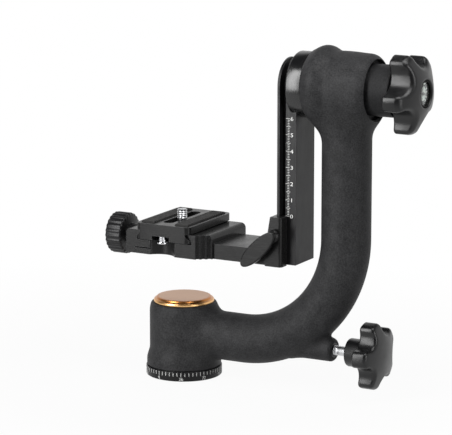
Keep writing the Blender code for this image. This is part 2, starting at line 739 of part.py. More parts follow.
def make_arm():
    """The arm casting with all its bores."""
    housing = turned("housing", [
        (0, housing_top), (HOUSING_TOP_RADIUS - GAP, housing_top),
        (HOUSING_TOP_RADIUS + (HOUSING_RADIUS - HOUSING_TOP_RADIUS) / 2, housing_top - HOUSING_SHOULDER / 5),
        (HOUSING_RADIUS - GAP, housing_top - HOUSING_SHOULDER / 2),
        (HOUSING_RADIUS, housing_top - HOUSING_SHOULDER),
        (HOUSING_RADIUS, arm_low + HOUSING_FOOT_HEIGHT + HOUSING_FLARE),
        (HOUSING_RADIUS + (HOUSING_FOOT_RADIUS - HOUSING_RADIUS) / 3,
         arm_low + HOUSING_FOOT_HEIGHT + HOUSING_FLARE / 3),
        (HOUSING_FOOT_RADIUS, arm_low + HOUSING_FOOT_HEIGHT),
        (HOUSING_FOOT_RADIUS, arm_low), (0, arm_low),
    ])
    curve = bpy.data.curves.new("arm_tube", "CURVE")
    curve.dimensions = "3D"
    curve.bevel_depth = ARM_RADIUS
    curve.bevel_resolution = ARM_SIDES_SETTING
    curve.use_fill_caps = True
    line = curve.splines.new("POLY")
    path = arm_path()
    line.points.add(len(path) - 1)
    for point, (x, z) in zip(line.points, path):
        point.co = (x, 0, z, 1)
    bar = settle(add_object("arm_tube", curve))
    bulge_x = barrel_left + BULGE_ROUNDING - GAP
    ridge = BULGE_RADIUS - BULGE_ROUNDING
    drop = math.asin((BARREL_RADIUS - ridge) / BULGE_ROUNDING)
    rounding = arc(barrel_right - BARREL_ROUNDING, BARREL_RADIUS - BARREL_ROUNDING, BARREL_ROUNDING,
                   math.pi / 2, 0, 4)
    crown = arc(bulge_x, ridge, BULGE_ROUNDING, drop, math.pi, 7)
    outline = [(radius, x) for x, radius in reversed(rounding)]
    outline += [(radius, x) for x, radius in crown if x > barrel_left]
    first = (0, barrel_right)
    barrel = turned("barrel", [first, (outline[0][0], barrel_right), *outline[1:],
                               (BULGE_FACE_RADIUS, barrel_left), (0, barrel_left)], TILT_AXIS, ALONG_X)
    boss_curve = arc(boss_end - BOSS_ROUNDING, BOSS_RADIUS - BOSS_ROUNDING, BOSS_ROUNDING,
                     0, math.pi / 2, 3)
    boss_start = boss_end - BOSS_LENGTH
    boss = turned("boss", [(0, boss_end), *[(radius, x) for x, radius in boss_curve],
                           (BOSS_RADIUS, boss_start), (0, boss_start)], LOCK_AXIS, ALONG_X,
                  steps=SMALL_SIDES + SMALL_SIDES // 5)
    top_flare = flare("top_flare", TILT_HEIGHT - BARREL_RADIUS + FLARE_GAIN, FLARE_GAIN, -FLARE_LENGTH,
                      (ARM_REACH, 0, 0), PLAIN)
    foot_flare = flare("foot_flare", HOUSING_RADIUS - FOOT_FLARE_GAIN, FOOT_FLARE_GAIN, FOOT_FLARE_LENGTH,
                       LOCK_AXIS, ALONG_X)
    arm = settle(unite(bar, housing, barrel, boss, top_flare, foot_flare))
    pan_bore = turned("pan_bore", [
        (0, housing_top + OVERRUN), (CAP_SKIRT_RADIUS + GAP, housing_top + OVERRUN),
        (CAP_SKIRT_RADIUS + GAP, upper_ring_high + GAP / 2),
        (BEARING_RADIUS + GAP, upper_ring_high + GAP / 2),
        (BEARING_RADIUS + GAP, upper_ring_low - GAP), (CAVITY_RADIUS, upper_ring_low - GAP),
        (CAVITY_RADIUS, lower_ring_high + GAP), (BEARING_RADIUS + GAP, lower_ring_high + GAP),
        (BEARING_RADIUS + GAP, shoulder), (SPINDLE_FLANGE_RADIUS + GAP, shoulder),
        (SPINDLE_FLANGE_RADIUS + GAP, arm_low - OVERRUN), (0, arm_low - OVERRUN),
    ], steps=BORE_SIDES)
    tilt_bore = turned("tilt_bore", [
        (0, barrel_right + OVERRUN), (BARREL_GROOVE_RADIUS, barrel_right + OVERRUN),
        (BARREL_GROOVE_RADIUS, groove_floor), (BEARING_RADIUS + GAP, groove_floor),
        (BEARING_RADIUS + GAP, tilt_ring_right - GAP), (CAVITY_RADIUS, tilt_ring_right - GAP),
        (CAVITY_RADIUS, tilt_ring_left_end + GAP), (BEARING_RADIUS + GAP, tilt_ring_left_end + GAP),
        (BEARING_RADIUS + GAP, barrel_left - OVERRUN), (0, barrel_left - OVERRUN),
    ], TILT_AXIS, ALONG_X, steps=BORE_SIDES)
    insert_left = boss_end - LOCK_INSERT_LENGTH
    lock_bore = turned("lock_bore", [
        (0, boss_end + OVERRUN), (LOCK_INSERT_RADIUS + GAP, boss_end + OVERRUN),
        (LOCK_INSERT_RADIUS + GAP, insert_left - GAP), (LOCK_ROD_RADIUS + GAP, insert_left - GAP),
        (LOCK_ROD_RADIUS + GAP, lock_pad_end + LOCK_PAD_LENGTH),
        (LOCK_PAD_RADIUS + GAP, lock_pad_end + LOCK_PAD_LENGTH),
        (LOCK_PAD_RADIUS + GAP, BRAKE_SLEEVE_RADIUS), (0, BRAKE_SLEEVE_RADIUS),
    ], LOCK_AXIS, ALONG_X, steps=SMALL_SIDES)
    cut(arm, pan_bore, tilt_bore, lock_bore)
    keep(settle(arm), "j_arm", COATED, pan_axis)
    insert = tube("insert", LOCK_INSERT_RADIUS, LOCK_ROD_RADIUS + GAP, insert_left, boss_end - GAP,
                  LOCK_AXIS, ALONG_X, SMALL_SIDES)
    keep(insert, "pan_lock_insert", BRASS, pan_axis)


def flare(name, wide_end, gain, length, place, turn):
    """The fillet where the arm's tube runs into a barrel, widening towards wide_end."""
    points = []
    for i in range(FLARE_STEPS + 1):
        share = i / FLARE_STEPS
        points.append((ARM_RADIUS + GAP / 3 + gain * (1 - share) ** 2, wide_end + length * share))
    if length > 0:
        points.reverse()
    return turned(name, [(0, points[0][1]), *points, (0, points[-1][1])], place, turn)


def make_pan_parts():
    """What the arm carries round the spindle: thrust washer, two bushes and the cap."""
    washer = tube("washer", SPINDLE_FLANGE_RADIUS - GAP, SPINDLE_COLLAR_RADIUS + GAP, washer_low, washer_high)
    keep(washer, "pan_thrust_washer", NYLON, pan_axis)
    for tier, (low, high) in PAN_BUSHES.items():
        bush = tube("bush", BEARING_RADIUS, SPINDLE_RADIUS + GAP, low, high)
        keep(bush, f"pan_bush_{tier}", BRASS, pan_axis)
    cap = turned("cap", [
        (0, cap_high), (CAP_TOP_RADIUS, cap_high), (CAP_RADIUS, cap_low + CAP_RIM), (CAP_RADIUS, cap_low),
        (CAP_SKIRT_RADIUS, cap_low), (CAP_SKIRT_RADIUS, cap_low - CAP_SKIRT_LENGTH),
        (CAP_SKIRT_BORE, cap_low - CAP_SKIRT_LENGTH), (CAP_SKIRT_BORE, cap_high - CAP_WALL),
        (0, cap_high - CAP_WALL),
    ], steps=ROUND_SIDES + SMALL_SIDES)
    keep(cap, "pan_cap", GOLD, pan_axis)


def star_knob(name, left, right, outline, axis_place):
    """The lobed grip of a knob between two places on its axis."""
    return flat(name, outline, left, right, axis_place, FACING_X, KNOB_EDGE, 1)


def make_pan_lock():
    """Brake pad, long rod and five-lobed knob of the pan lock."""
    pad = rod("pad", LOCK_PAD_RADIUS, BRAKE_SLEEVE_RADIUS - LOCK_PAD_RADIUS, lock_pad_end, LOCK_AXIS, ALONG_X)
    curve = rod("pad_curve", sleeve_face, arm_height - LOCK_PAD_RADIUS * 2, arm_height + LOCK_PAD_RADIUS * 2,
                steps=ROUND_SIDES)
    keep(cut(pad, curve), "pan_lock_pad", BRASS, pan_lock_axis)
    depth = pan_knob_left + PAN_KNOB_THICKNESS * KNOB_SCREW_DEPTH_SHARE
    keep(rod("lock_rod", LOCK_ROD_RADIUS, lock_rod_left, depth, LOCK_AXIS, ALONG_X),
         "pan_lock_rod", STEEL, pan_lock_axis)
    outline = star_outline(PAN_KNOB_RADIUS, PAN_KNOB_WAIST, PAN_KNOB_VALLEY, PAN_KNOB_CORNER, PAN_KNOB_PHASE)
    grip = star_knob("pan_grip", pan_knob_left, pan_knob_right, outline, LOCK_AXIS)
    hub = rod("pan_hub", PAN_KNOB_HUB_RADIUS, pan_hub_left, pan_knob_left + KNOB_EDGE * 2, LOCK_AXIS, ALONG_X,
              SMALL_SIDES + SMALL_SIDES // 5)
    bore = rod("pan_knob_bore", LOCK_ROD_RADIUS + GAP, pan_hub_left - OVERRUN, depth + GAP,
               LOCK_AXIS, ALONG_X)
    keep(settle(cut(unite(grip, hub), bore)), "pan_lock_knob", MOULDED, pan_lock_axis)


def make_collar():
    """The collar screwed into the barrel's end, which holds the tilt lock's thread."""
    plug_left = tilt_ring_right_end + GAP
    pocket_right = tilt_stud_left + TILT_PAD_TRAVEL
    collar = turned("collar", [
        (TILT_STUD_RADIUS + GAP, collar_right), (COLLAR_RADIUS, collar_right),
        (COLLAR_RADIUS, groove_floor + GAP), (BEARING_RADIUS, groove_floor + GAP),
        (BEARING_RADIUS, plug_left), (COLLAR_PLUG_BORE, plug_left),
        (COLLAR_PLUG_BORE, tilt_pad_left), (TILT_PAD_RADIUS + GAP, tilt_pad_left),
        (TILT_PAD_RADIUS + GAP, pocket_right), (TILT_STUD_RADIUS + GAP, pocket_right),
    ], TILT_AXIS, ALONG_X, True)
    keep(collar, "tilt_end_collar", COATED, pan_axis)


def make_tilt_lock():
    """Pressure pad, stud and five-lobed knob of the tilt lock."""
    keep(rod("tilt_pad", TILT_PAD_RADIUS, tilt_pad_left, tilt_pad_right, TILT_AXIS, ALONG_X),
         "tilt_lock_pad", BRASS, tilt_lock_axis)
    stud_right = tilt_knob_left + TILT_STUD_GRIP
    keep(rod("tilt_stud", TILT_STUD_RADIUS, tilt_stud_left, stud_right, TILT_AXIS, ALONG_X),
         "tilt_lock_stud", STEEL, tilt_lock_axis)
    outline = star_outline(TILT_KNOB_RADIUS, TILT_KNOB_WAIST, TILT_KNOB_VALLEY, TILT_KNOB_CORNER,
                           TILT_KNOB_PHASE)
    grip = star_knob("tilt_grip", tilt_knob_left, tilt_knob_front, outline, TILT_AXIS)
    dome = turned("tilt_dome", [
        (0, tilt_knob_right), (TILT_KNOB_DOME_TOP, tilt_knob_right),
        (TILT_KNOB_DOME_FOOT, tilt_knob_front - GAP),
        (TILT_KNOB_DOME_FOOT - KNOB_EDGE, tilt_knob_left + KNOB_EDGE * 2),
        (0, tilt_knob_left + KNOB_EDGE * 2),
    ], TILT_AXIS, ALONG_X)
    bore = rod("tilt_knob_bore", TILT_STUD_RADIUS + GAP, tilt_knob_left - OVERRUN, stud_right + GAP,
               TILT_AXIS, ALONG_X)
    case_right = tilt_knob_right - COMPASS_SINK
    case_left = case_right - COMPASS_HEIGHT
    well = rod("compass_well", COMPASS_RADIUS + GAP, case_left - GAP, tilt_knob_right + OVERRUN,
               TILT_AXIS, ALONG_X, ROUND_SIDES)
    keep(settle(cut(unite(grip, dome), bore, well)), "tilt_lock_knob", MOULDED, tilt_lock_axis)
    make_compass(case_left, case_right)


def make_compass(case_left, case_right):
    """Case with its pivot, floating card and window of the compass."""
    inner = COMPASS_RADIUS - COMPASS_WALL
    floor = case_left + COMPASS_WALL
    window_left = case_right - COMPASS_LENS_THICKNESS - GAP
    case = turned("compass_case", [
        (0, window_left - GAP), (COMPASS_PIN_RADIUS, window_left - GAP), (COMPASS_PIN_RADIUS, floor),
        (inner, floor), (inner, case_right), (COMPASS_RADIUS, case_right),
        (COMPASS_RADIUS, case_left), (0, case_left),
    ], TILT_AXIS, ALONG_X)
    keep(case, "compass_case", BRASS, tilt_lock_axis)
    card_left = floor + COMPASS_CARD_LIFT
    card_right = card_left + COMPASS_CARD_THICKNESS
    card = tube("card", COMPASS_CARD_RADIUS, COMPASS_CARD_BORE, card_left, card_right, TILT_AXIS, ALONG_X)
    keep(card, "compass_card", CARD, tilt_lock_axis)
    keep(rod("window", inner - GAP, window_left, case_right - GAP, TILT_AXIS, ALONG_X, ROUND_SIDES),
         "compass_window", CLEAR, tilt_lock_axis)


def make_bearing_parts():
    """The two tilt bearings, the spacer between them and the washer behind the hub."""
    bore = SPINDLE_RADIUS + GAP
    for side, (low, high) in TILT_RINGS.items():
        outer = tube("outer", BEARING_RADIUS, BEARING_OUTER_BORE, low, high, TILT_AXIS, ALONG_X)
        keep(outer, f"tilt_bearing_{side}_outer_ring", STEEL, pan_axis)
        inner = tube("inner", BEARING_INNER_RADIUS, bore, low, high, TILT_AXIS, ALONG_X)
        keep(inner, f"tilt_bearing_{side}_inner_ring", STEEL, tilt_axis)
        keep(ball_cage((low + high) / 2), f"tilt_bearing_{side}_balls", STEEL, pan_axis)
    spacer = tube("spacer", BEARING_INNER_RADIUS, bore, tilt_ring_left_end + GAP, tilt_ring_right - GAP,
                  TILT_AXIS, ALONG_X)
    keep(spacer, "tilt_spacer", STEEL, tilt_axis)
    washer = tube("tilt_washer", BEARING_RADIUS - GAP, SHAFT_COLLAR_RADIUS + GAP, hub_right + GAP,
                  hub_right + GAP + WASHER_THICKNESS, TILT_AXIS, ALONG_X)
    keep(washer, "tilt_thrust_washer", NYLON, pan_axis)
    keep(slotted_nut("shaft_nut", bore, tilt_nut_left, tilt_nut_right, TILT_AXIS, ALONG_X),
         "tilt_shaft_nut", STEEL, tilt_axis)


def rail_outline(width):
    """Outline of one layer of the rail: a strip with a round top about the tilt axis."""
    half = width / 2
    top = arc(0, TILT_HEIGHT, half, 0, math.pi, ROUND_SIDES // 2)
    return [(-half, rail_bottom), (half, rail_bottom), *top]


def make_swing():
    """Hub, shaft, rail and the fasteners that hold them together."""
    hub = turned("hub", [
        (0, hub_right), (HUB_RADIUS - HUB_CHAMFER, hub_right), (HUB_RADIUS, hub_right - HUB_CHAMFER),
        (HUB_RADIUS, hub_left + HUB_CHAMFER), (HUB_RADIUS - HUB_CHAMFER, hub_left), (0, hub_left),
    ], TILT_AXIS, ALONG_X, steps=ROUND_SIDES + SMALL_SIDES)
    seat = flat("hub_seat", rail_outline(RAIL_BODY_WIDTH + GAP * 2), hub_left - OVERRUN, seat_floor,
                (0, 0, 0), FACING_X)
    hub_bore = rod("hub_bore", SPINDLE_RADIUS + GAP, seat_floor - OVERRUN, hub_right + OVERRUN,
                   TILT_AXIS, ALONG_X, ROUND_SIDES)
    cut(hub, seat, hub_bore)
    flange = flat("flange", rail_outline(RAIL_FLANGE_WIDTH), rail_left, flange_right, (0, 0, 0), FACING_X,
                  RAIL_EDGE)
    waist = flat("waist", rail_outline(RAIL_WAIST_WIDTH), rail_left + RAIL_FLANGE_THICKNESS / 2,
                 body_left + RAIL_BODY_THICKNESS / 2, (0, 0, 0), FACING_X)
    body = flat("body", rail_outline(RAIL_BODY_WIDTH), body_left, rail_right, (0, 0, 0), FACING_X, RAIL_EDGE)
    rail = unite(waist, flange, body)
    tip = seat_floor + RAIL_SCREW_GRIP
    for tag, side in (("front", -1), ("rear", 1)):
        place = (0, side * RAIL_SCREW_ACROSS, TILT_HEIGHT - RAIL_SCREW_ALONG)
        cut(rail, *sunk_hole(f"rail_hole_{tag}", RAIL_SCREW_RADIUS, RAIL_SCREW_HEAD, rail_right, place))
        cut(hub, rod(f"hub_hole_{tag}", RAIL_SCREW_RADIUS + GAP, seat_floor - OVERRUN, tip + GAP,
                     place, ALONG_X))
        screw = countersunk("screw", RAIL_SCREW_RADIUS, RAIL_SCREW_HEAD, rail_left + GAP / 2, tip,
                            place, ALONG_X)
        keep(screw, f"rail_screw_{tag}", STEEL, tilt_axis)
    cut(rail, *sunk_hole("bolt_hole", HUB_BOLT_RADIUS, HUB_BOLT_HEAD, rail_right, TILT_AXIS))
    keep(settle(hub), "tilt_hub", ANODISED, tilt_axis)
    keep(settle(rail), "swing_rail", ANODISED, tilt_axis)
    bolt_tip = shaft_left + HUB_BOLT_GRIP
    bolt = countersunk("bolt", HUB_BOLT_RADIUS, HUB_BOLT_HEAD, rail_left + GAP / 2, bolt_tip,
                       TILT_AXIS, ALONG_X)
    keep(bolt, "hub_bolt", STEEL, tilt_axis)
    bolt_bore = HUB_BOLT_RADIUS + GAP
    shaft = turned("shaft", [
        (0, shaft_right), (SPINDLE_RADIUS, shaft_right),
        (SPINDLE_RADIUS, hub_right + GAP + WASHER_THICKNESS),
        (SHAFT_COLLAR_RADIUS, hub_right + GAP + WASHER_THICKNESS), (SHAFT_COLLAR_RADIUS, hub_right + GAP),
        (SPINDLE_RADIUS, hub_right + GAP), (SPINDLE_RADIUS, shaft_left), (bolt_bore, shaft_left),
        (bolt_bore, bolt_tip + GAP), (0, bolt_tip + GAP),
    ], TILT_AXIS, ALONG_X)
    keep(shaft, "tilt_shaft", STEEL, tilt_axis)


def sunk_hole(name, radius, head, far, place):
    """Cutters for a countersunk hole through the rail from its outer face."""
    cone = head - radius
    shank = rod(name, radius + GAP, rail_left - OVERRUN, far + OVERRUN, place, ALONG_X)
    sink = turned(name + "_sink", [
        (0, rail_left + cone + GAP), (radius + GAP, rail_left + cone + GAP),
        (head + GAP, rail_left), (head + GAP, rail_left - OVERRUN), (0, rail_left - OVERRUN),
    ], place, ALONG_X, steps=SMALL_SIDES)
    return shank, sink


def make_carriage():
    """The carriage that grips the rail's flange, with its gib."""
    slope_high = platform_low + CARRIAGE_SLOPE_START
    outline = [
        (carriage_left, platform_low), (carriage_right, platform_low), (carriage_right, carriage_high),
        (carriage_right - CARRIAGE_TOP_THICKNESS, carriage_high), (carriage_left, slope_high),
    ]
    carriage = flat("carriage", outline, -carriage_half, carriage_half, (0, 0, 0), FACING_Y, CARRIAGE_EDGE)
    low, high = platform_low - OVERRUN, carriage_high + OVERRUN
    flange_half = RAIL_FLANGE_WIDTH / 2 + GAP
    waist_half = RAIL_WAIST_WIDTH / 2 + GAP
    body_half = RAIL_BODY_WIDTH / 2 + GAP
    lip_face = flange_right + GAP
    flange_way = block("flange_way", (carriage_face, -flange_half, low), (lip_face, flange_half, high))
    waist_way = block("waist_way", (lip_face - OVERRUN, -waist_half, low),
                      (body_left, waist_half, high))
    body_way = block("body_way", (body_left - GAP, -body_half, low),
                     (carriage_right + OVERRUN, body_half, high))
    gib_low = lever_height - GIB_LENGTH / 2
    gib_high = lever_height + GIB_LENGTH / 2
    pocket = block("gib_pocket", (gib_middle - GIB_WIDTH / 2 - GAP, pocket_back, gib_low - GAP),
                   (gib_middle + GIB_WIDTH / 2 + GAP, gib_front + OVERRUN, gib_high + GAP))
    way = rod("lever_way", LEVER_SCREW_RADIUS + GAP, -pocket_back - OVERRUN, carriage_half + OVERRUN,
              (gib_middle, 0, lever_height), FACING_Y)
    cut(carriage, flange_way, waist_way, body_way, pocket, way)
    spots = (-PLATFORM_SCREW_SPACING / 2, PLATFORM_SCREW_SPACING / 2)
    screw_height = (platform_low + platform_high) / 2
    head_right = carriage_face - GAP
    head_left = head_right - PLATFORM_SCREW_HEAD_HEIGHT
    tip = head_left - PLATFORM_SCREW_LENGTH
    for i, y in enumerate(spots):
        place = (0, y, screw_height)
        head_way = rod(f"head_way_{i}", PLATFORM_SCREW_HEAD + GAP, head_left - GAP, carriage_face + OVERRUN,
                       place, ALONG_X)
        shank_way = rod(f"shank_way_{i}", PLATFORM_SCREW_RADIUS + GAP, carriage_left - OVERRUN, head_left,
                        place, ALONG_X)
        cut(carriage, head_way, shank_way)
        screw = turned(f"platform_screw_{i}", [
            (0, head_right), (PLATFORM_SCREW_HEAD, head_right), (PLATFORM_SCREW_HEAD, head_left),
            (PLATFORM_SCREW_RADIUS, head_left), (PLATFORM_SCREW_RADIUS, tip), (0, tip),
        ], place, ALONG_X, steps=SMALL_SIDES)
        key = rod(f"platform_key_{i}", PLATFORM_SCREW_RADIUS, head_right - PLATFORM_SCREW_HEAD_HEIGHT / 2,
                  head_right + OVERRUN, place, ALONG_X, 6)
        keep(settle(cut(screw, key)), f"platform_screw_{i + 1}", STEEL, height_axis)
    keep(settle(carriage), "height_carriage", ANODISED, height_axis)
    gib = block("gib", (gib_middle - GIB_WIDTH / 2, gib_back, gib_low),
                (gib_middle + GIB_WIDTH / 2, gib_front, gib_high))
    keep(gib, "height_gib", BRASS, lever_axis)
    return spots, screw_height, tip


def make_lever():
    """Screw and flat paddle of the height lock."""
    place = (gib_middle, 0, lever_height)
    keep(rod("lever_screw", LEVER_SCREW_RADIUS, -gib_back + GAP, -lever_hub_front, place, FACING_Y),
         "height_lock_screw", STEEL, lever_axis)
    hub = rod("lever_hub", LEVER_HUB_RADIUS, -lever_hub_back, -lever_front, place, FACING_Y,
              SMALL_SIDES + SMALL_SIDES // 5)
    half_length = LEVER_LENGTH / 2
    half_width = LEVER_WIDTH / 2
    leaf = []
    for i in range(SMALL_SIDES + SMALL_SIDES // 5):
        turn = math.tau * i / (SMALL_SIDES + SMALL_SIDES // 5)
        along = half_length * (1 + math.cos(turn)) - LEVER_HUB_RADIUS
        across = half_width * math.sin(turn)
        leaf.append((along * math.cos(LEVER_ANGLE) - across * math.sin(LEVER_ANGLE),
                     along * math.sin(LEVER_ANGLE) + across * math.cos(LEVER_ANGLE)))
    paddle = flat("paddle", leaf, -lever_hub_front, -lever_front, place, FACING_Y, LEVER_EDGE, 1)
    bore = rod("lever_bore", LEVER_SCREW_RADIUS + GAP, -lever_hub_back - OVERRUN, -lever_hub_front + GAP,
               place, FACING_Y)
    keep(settle(cut(unite(paddle, hub), bore)), "height_lock_paddle", ANODISED, lever_axis)


def make_platform(spots, screw_height, screw_tip):
    """The camera platform: a bar that widens into the clamp's base and carries its fixed jaw."""
    half = PLATFORM_WIDTH / 2
    outline = [
        (platform_right, -half), (platform_right, half), (fixed_outer, half), (fixed_outer, clamp_half),
        (platform_left, clamp_half), (platform_left, -clamp_half), (fixed_outer, -clamp_half),
        (fixed_outer, -half),
    ]
    bar = flat("bar", outline, platform_low, platform_high)
    inner = CLAMP_CENTRE + jaw_inner
    lip = CLAMP_CENTRE + lip_inner
    crest = arc(fixed_outer - JAW_ROUNDING, jaw_top - JAW_ROUNDING, JAW_ROUNDING, 0, math.pi / 2, 4)
    jaw = flat("fixed_jaw", [
        (inner, platform_high - OVERRUN), (fixed_outer, platform_high - OVERRUN), *crest,
        (lip, jaw_top), (lip, lip_start), (inner, slope_start),
    ], -clamp_half, clamp_half, (0, 0, 0), FACING_Y)
    tongue = block("tongue", (post_inner + GAP, -clamp_half, platform_low),
                   (platform_left + OVERRUN, clamp_half, foot_low - GAP))
    slot_half = JAW_TONGUE_WIDTH / 2 + GAP
    tongue_slot = block("tongue_slot", (moving_outer, -slot_half, platform_low - OVERRUN),
                        (platform_left, slot_half, foot_low + OVERRUN))
    spare_along = OVERRUN * CORNER_CUT_ALONG / CORNER_CUT_ACROSS
    spare_across = OVERRUN * CORNER_CUT_ACROSS / CORNER_CUT_ALONG
    corner = flat("corner_cut", [
        (fixed_outer + OVERRUN, -clamp_half - OVERRUN),
        (fixed_outer + OVERRUN, -clamp_half + CORNER_CUT_ACROSS + spare_across),
        (fixed_outer - CORNER_CUT_ALONG - spare_along, -clamp_half - OVERRUN),
    ], platform_low - OVERRUN, jaw_top + OVERRUN)
    scoop_half = SCOOP_WIDTH / 2
    scoop_radius = (scoop_half ** 2 + SCOOP_DEPTH ** 2) / (2 * SCOOP_DEPTH)
    scoop = rod("scoop", scoop_radius, platform_low - OVERRUN, platform_high + OVERRUN,
                (SCOOP_PLACE, -clamp_half - scoop_radius + SCOOP_DEPTH, 0), steps=ROUND_SIDES)
    platform = cut(unite(bar, jaw, tongue), tongue_slot, corner, scoop)
    for i in range(FLUTE_COUNT):
        share = (i + 0.5) / FLUTE_COUNT
        place = (fixed_outer - CORNER_CUT_ALONG * (1 - share), -clamp_half + CORNER_CUT_ACROSS * share, 0)
        cut(platform, rod(f"flute_{i}", FLUTE_RADIUS, platform_low - OVERRUN, jaw_top + OVERRUN, place,
                          steps=SMALL_SIDES // 2 + 2))
    for i, y in enumerate(spots):
        cut(platform, rod(f"platform_hole_{i}", PLATFORM_SCREW_RADIUS + GAP, screw_tip - GAP,
                          platform_right + OVERRUN, (0, y, screw_height), ALONG_X))
    screw_end = clamp_hub_left + CLAMP_SCREW_LENGTH
    cut(platform, rod("clamp_screw_hole", CLAMP_SCREW_RADIUS + GAP, platform_left - OVERRUN, screw_end + GAP,
                      (0, 0, clamp_axis), ALONG_X))
    pin_height = (foot_low + platform_high) / 2
    pin_left = platform_left + PIN_GRIP - PIN_LENGTH
    for i, side in enumerate((-1, 1)):
        place = (0, side * PIN_SPREAD / 2, pin_height)
        cut(platform, rod(f"pin_hole_{i}", PIN_RADIUS + GAP, platform_left - OVERRUN,
                          platform_left + PIN_GRIP + GAP, place, ALONG_X))
        keep(rod("pin", PIN_RADIUS, pin_left, platform_left + PIN_GRIP, place, ALONG_X),
             f"jaw_guide_pin_{i + 1}", STEEL, height_axis)
    keep(settle(platform), "camera_platform", ANODISED, height_axis)
    make_moving_jaw(pin_left, pin_height, screw_end)


def make_moving_jaw(pin_left, pin_height, screw_end):
    """Moving jaw of the clamp, with its screw and its knurled knob."""
    inner = CLAMP_CENTRE - jaw_inner
    lip = CLAMP_CENTRE - lip_inner
    jaw = flat("moving_jaw", [
        (moving_outer, platform_low), (post_inner, platform_low), (post_inner, foot_low),
        (foot_end, foot_low), (foot_end, platform_high), (inner, platform_high),
        (inner, slope_start), (lip, lip_start), (lip, jaw_top), (moving_outer, jaw_top),
    ], -clamp_half, clamp_half, (0, 0, 0), FACING_Y)
    half = JAW_TONGUE_WIDTH / 2
    key = block("jaw_key", (moving_outer + OVERRUN, -half, platform_low + GAP),
                (foot_end - GAP, half, platform_high - OVERRUN))
    unite(jaw, key)
    for i, side in enumerate((-1, 1)):
        cut(jaw, rod(f"jaw_pin_way_{i}", PIN_RADIUS + GAP, pin_left - GAP * 2, foot_end + OVERRUN,
                     (0, side * PIN_SPREAD / 2, pin_height), ALONG_X))
    axis = (0, 0, clamp_axis)
    cut(jaw, rod("jaw_screw_way", CLAMP_SCREW_RADIUS + GAP, moving_outer - OVERRUN, foot_end + OVERRUN,
                 axis, ALONG_X))
    keep(settle(jaw), "moving_jaw", ANODISED, jaw_axis)
    screw_left = clamp_hub_left
    keep(rod("clamp_screw", CLAMP_SCREW_RADIUS, screw_left, screw_end, axis, ALONG_X),
         "clamp_screw", STEEL, jaw_axis)
    ribs = []
    for i in range(CLAMP_KNOB_RIBS * 2):
        turn = math.tau * i / (CLAMP_KNOB_RIBS * 2)
        radius = CLAMP_KNOB_RADIUS - CLAMP_KNOB_RIB_DEPTH * (i % 2)
        ribs.append((radius * math.cos(turn), radius * math.sin(turn)))
    grip = flat("clamp_grip", ribs, clamp_knob_left, clamp_hub_left, axis, FACING_X, CLAMP_KNOB_EDGE)
    hub = rod("clamp_hub", CLAMP_HUB_RADIUS, clamp_hub_left - CLAMP_KNOB_EDGE * 2, clamp_hub_right, axis,
              ALONG_X, SMALL_SIDES + SMALL_SIDES // 5)
    bore = rod("clamp_knob_bore", CLAMP_SCREW_RADIUS + GAP, clamp_hub_left - GAP, clamp_hub_right + OVERRUN,
               axis, ALONG_X)
    keep(settle(cut(unite(grip, hub), bore)), "clamp_knob", ANODISED, jaw_axis)


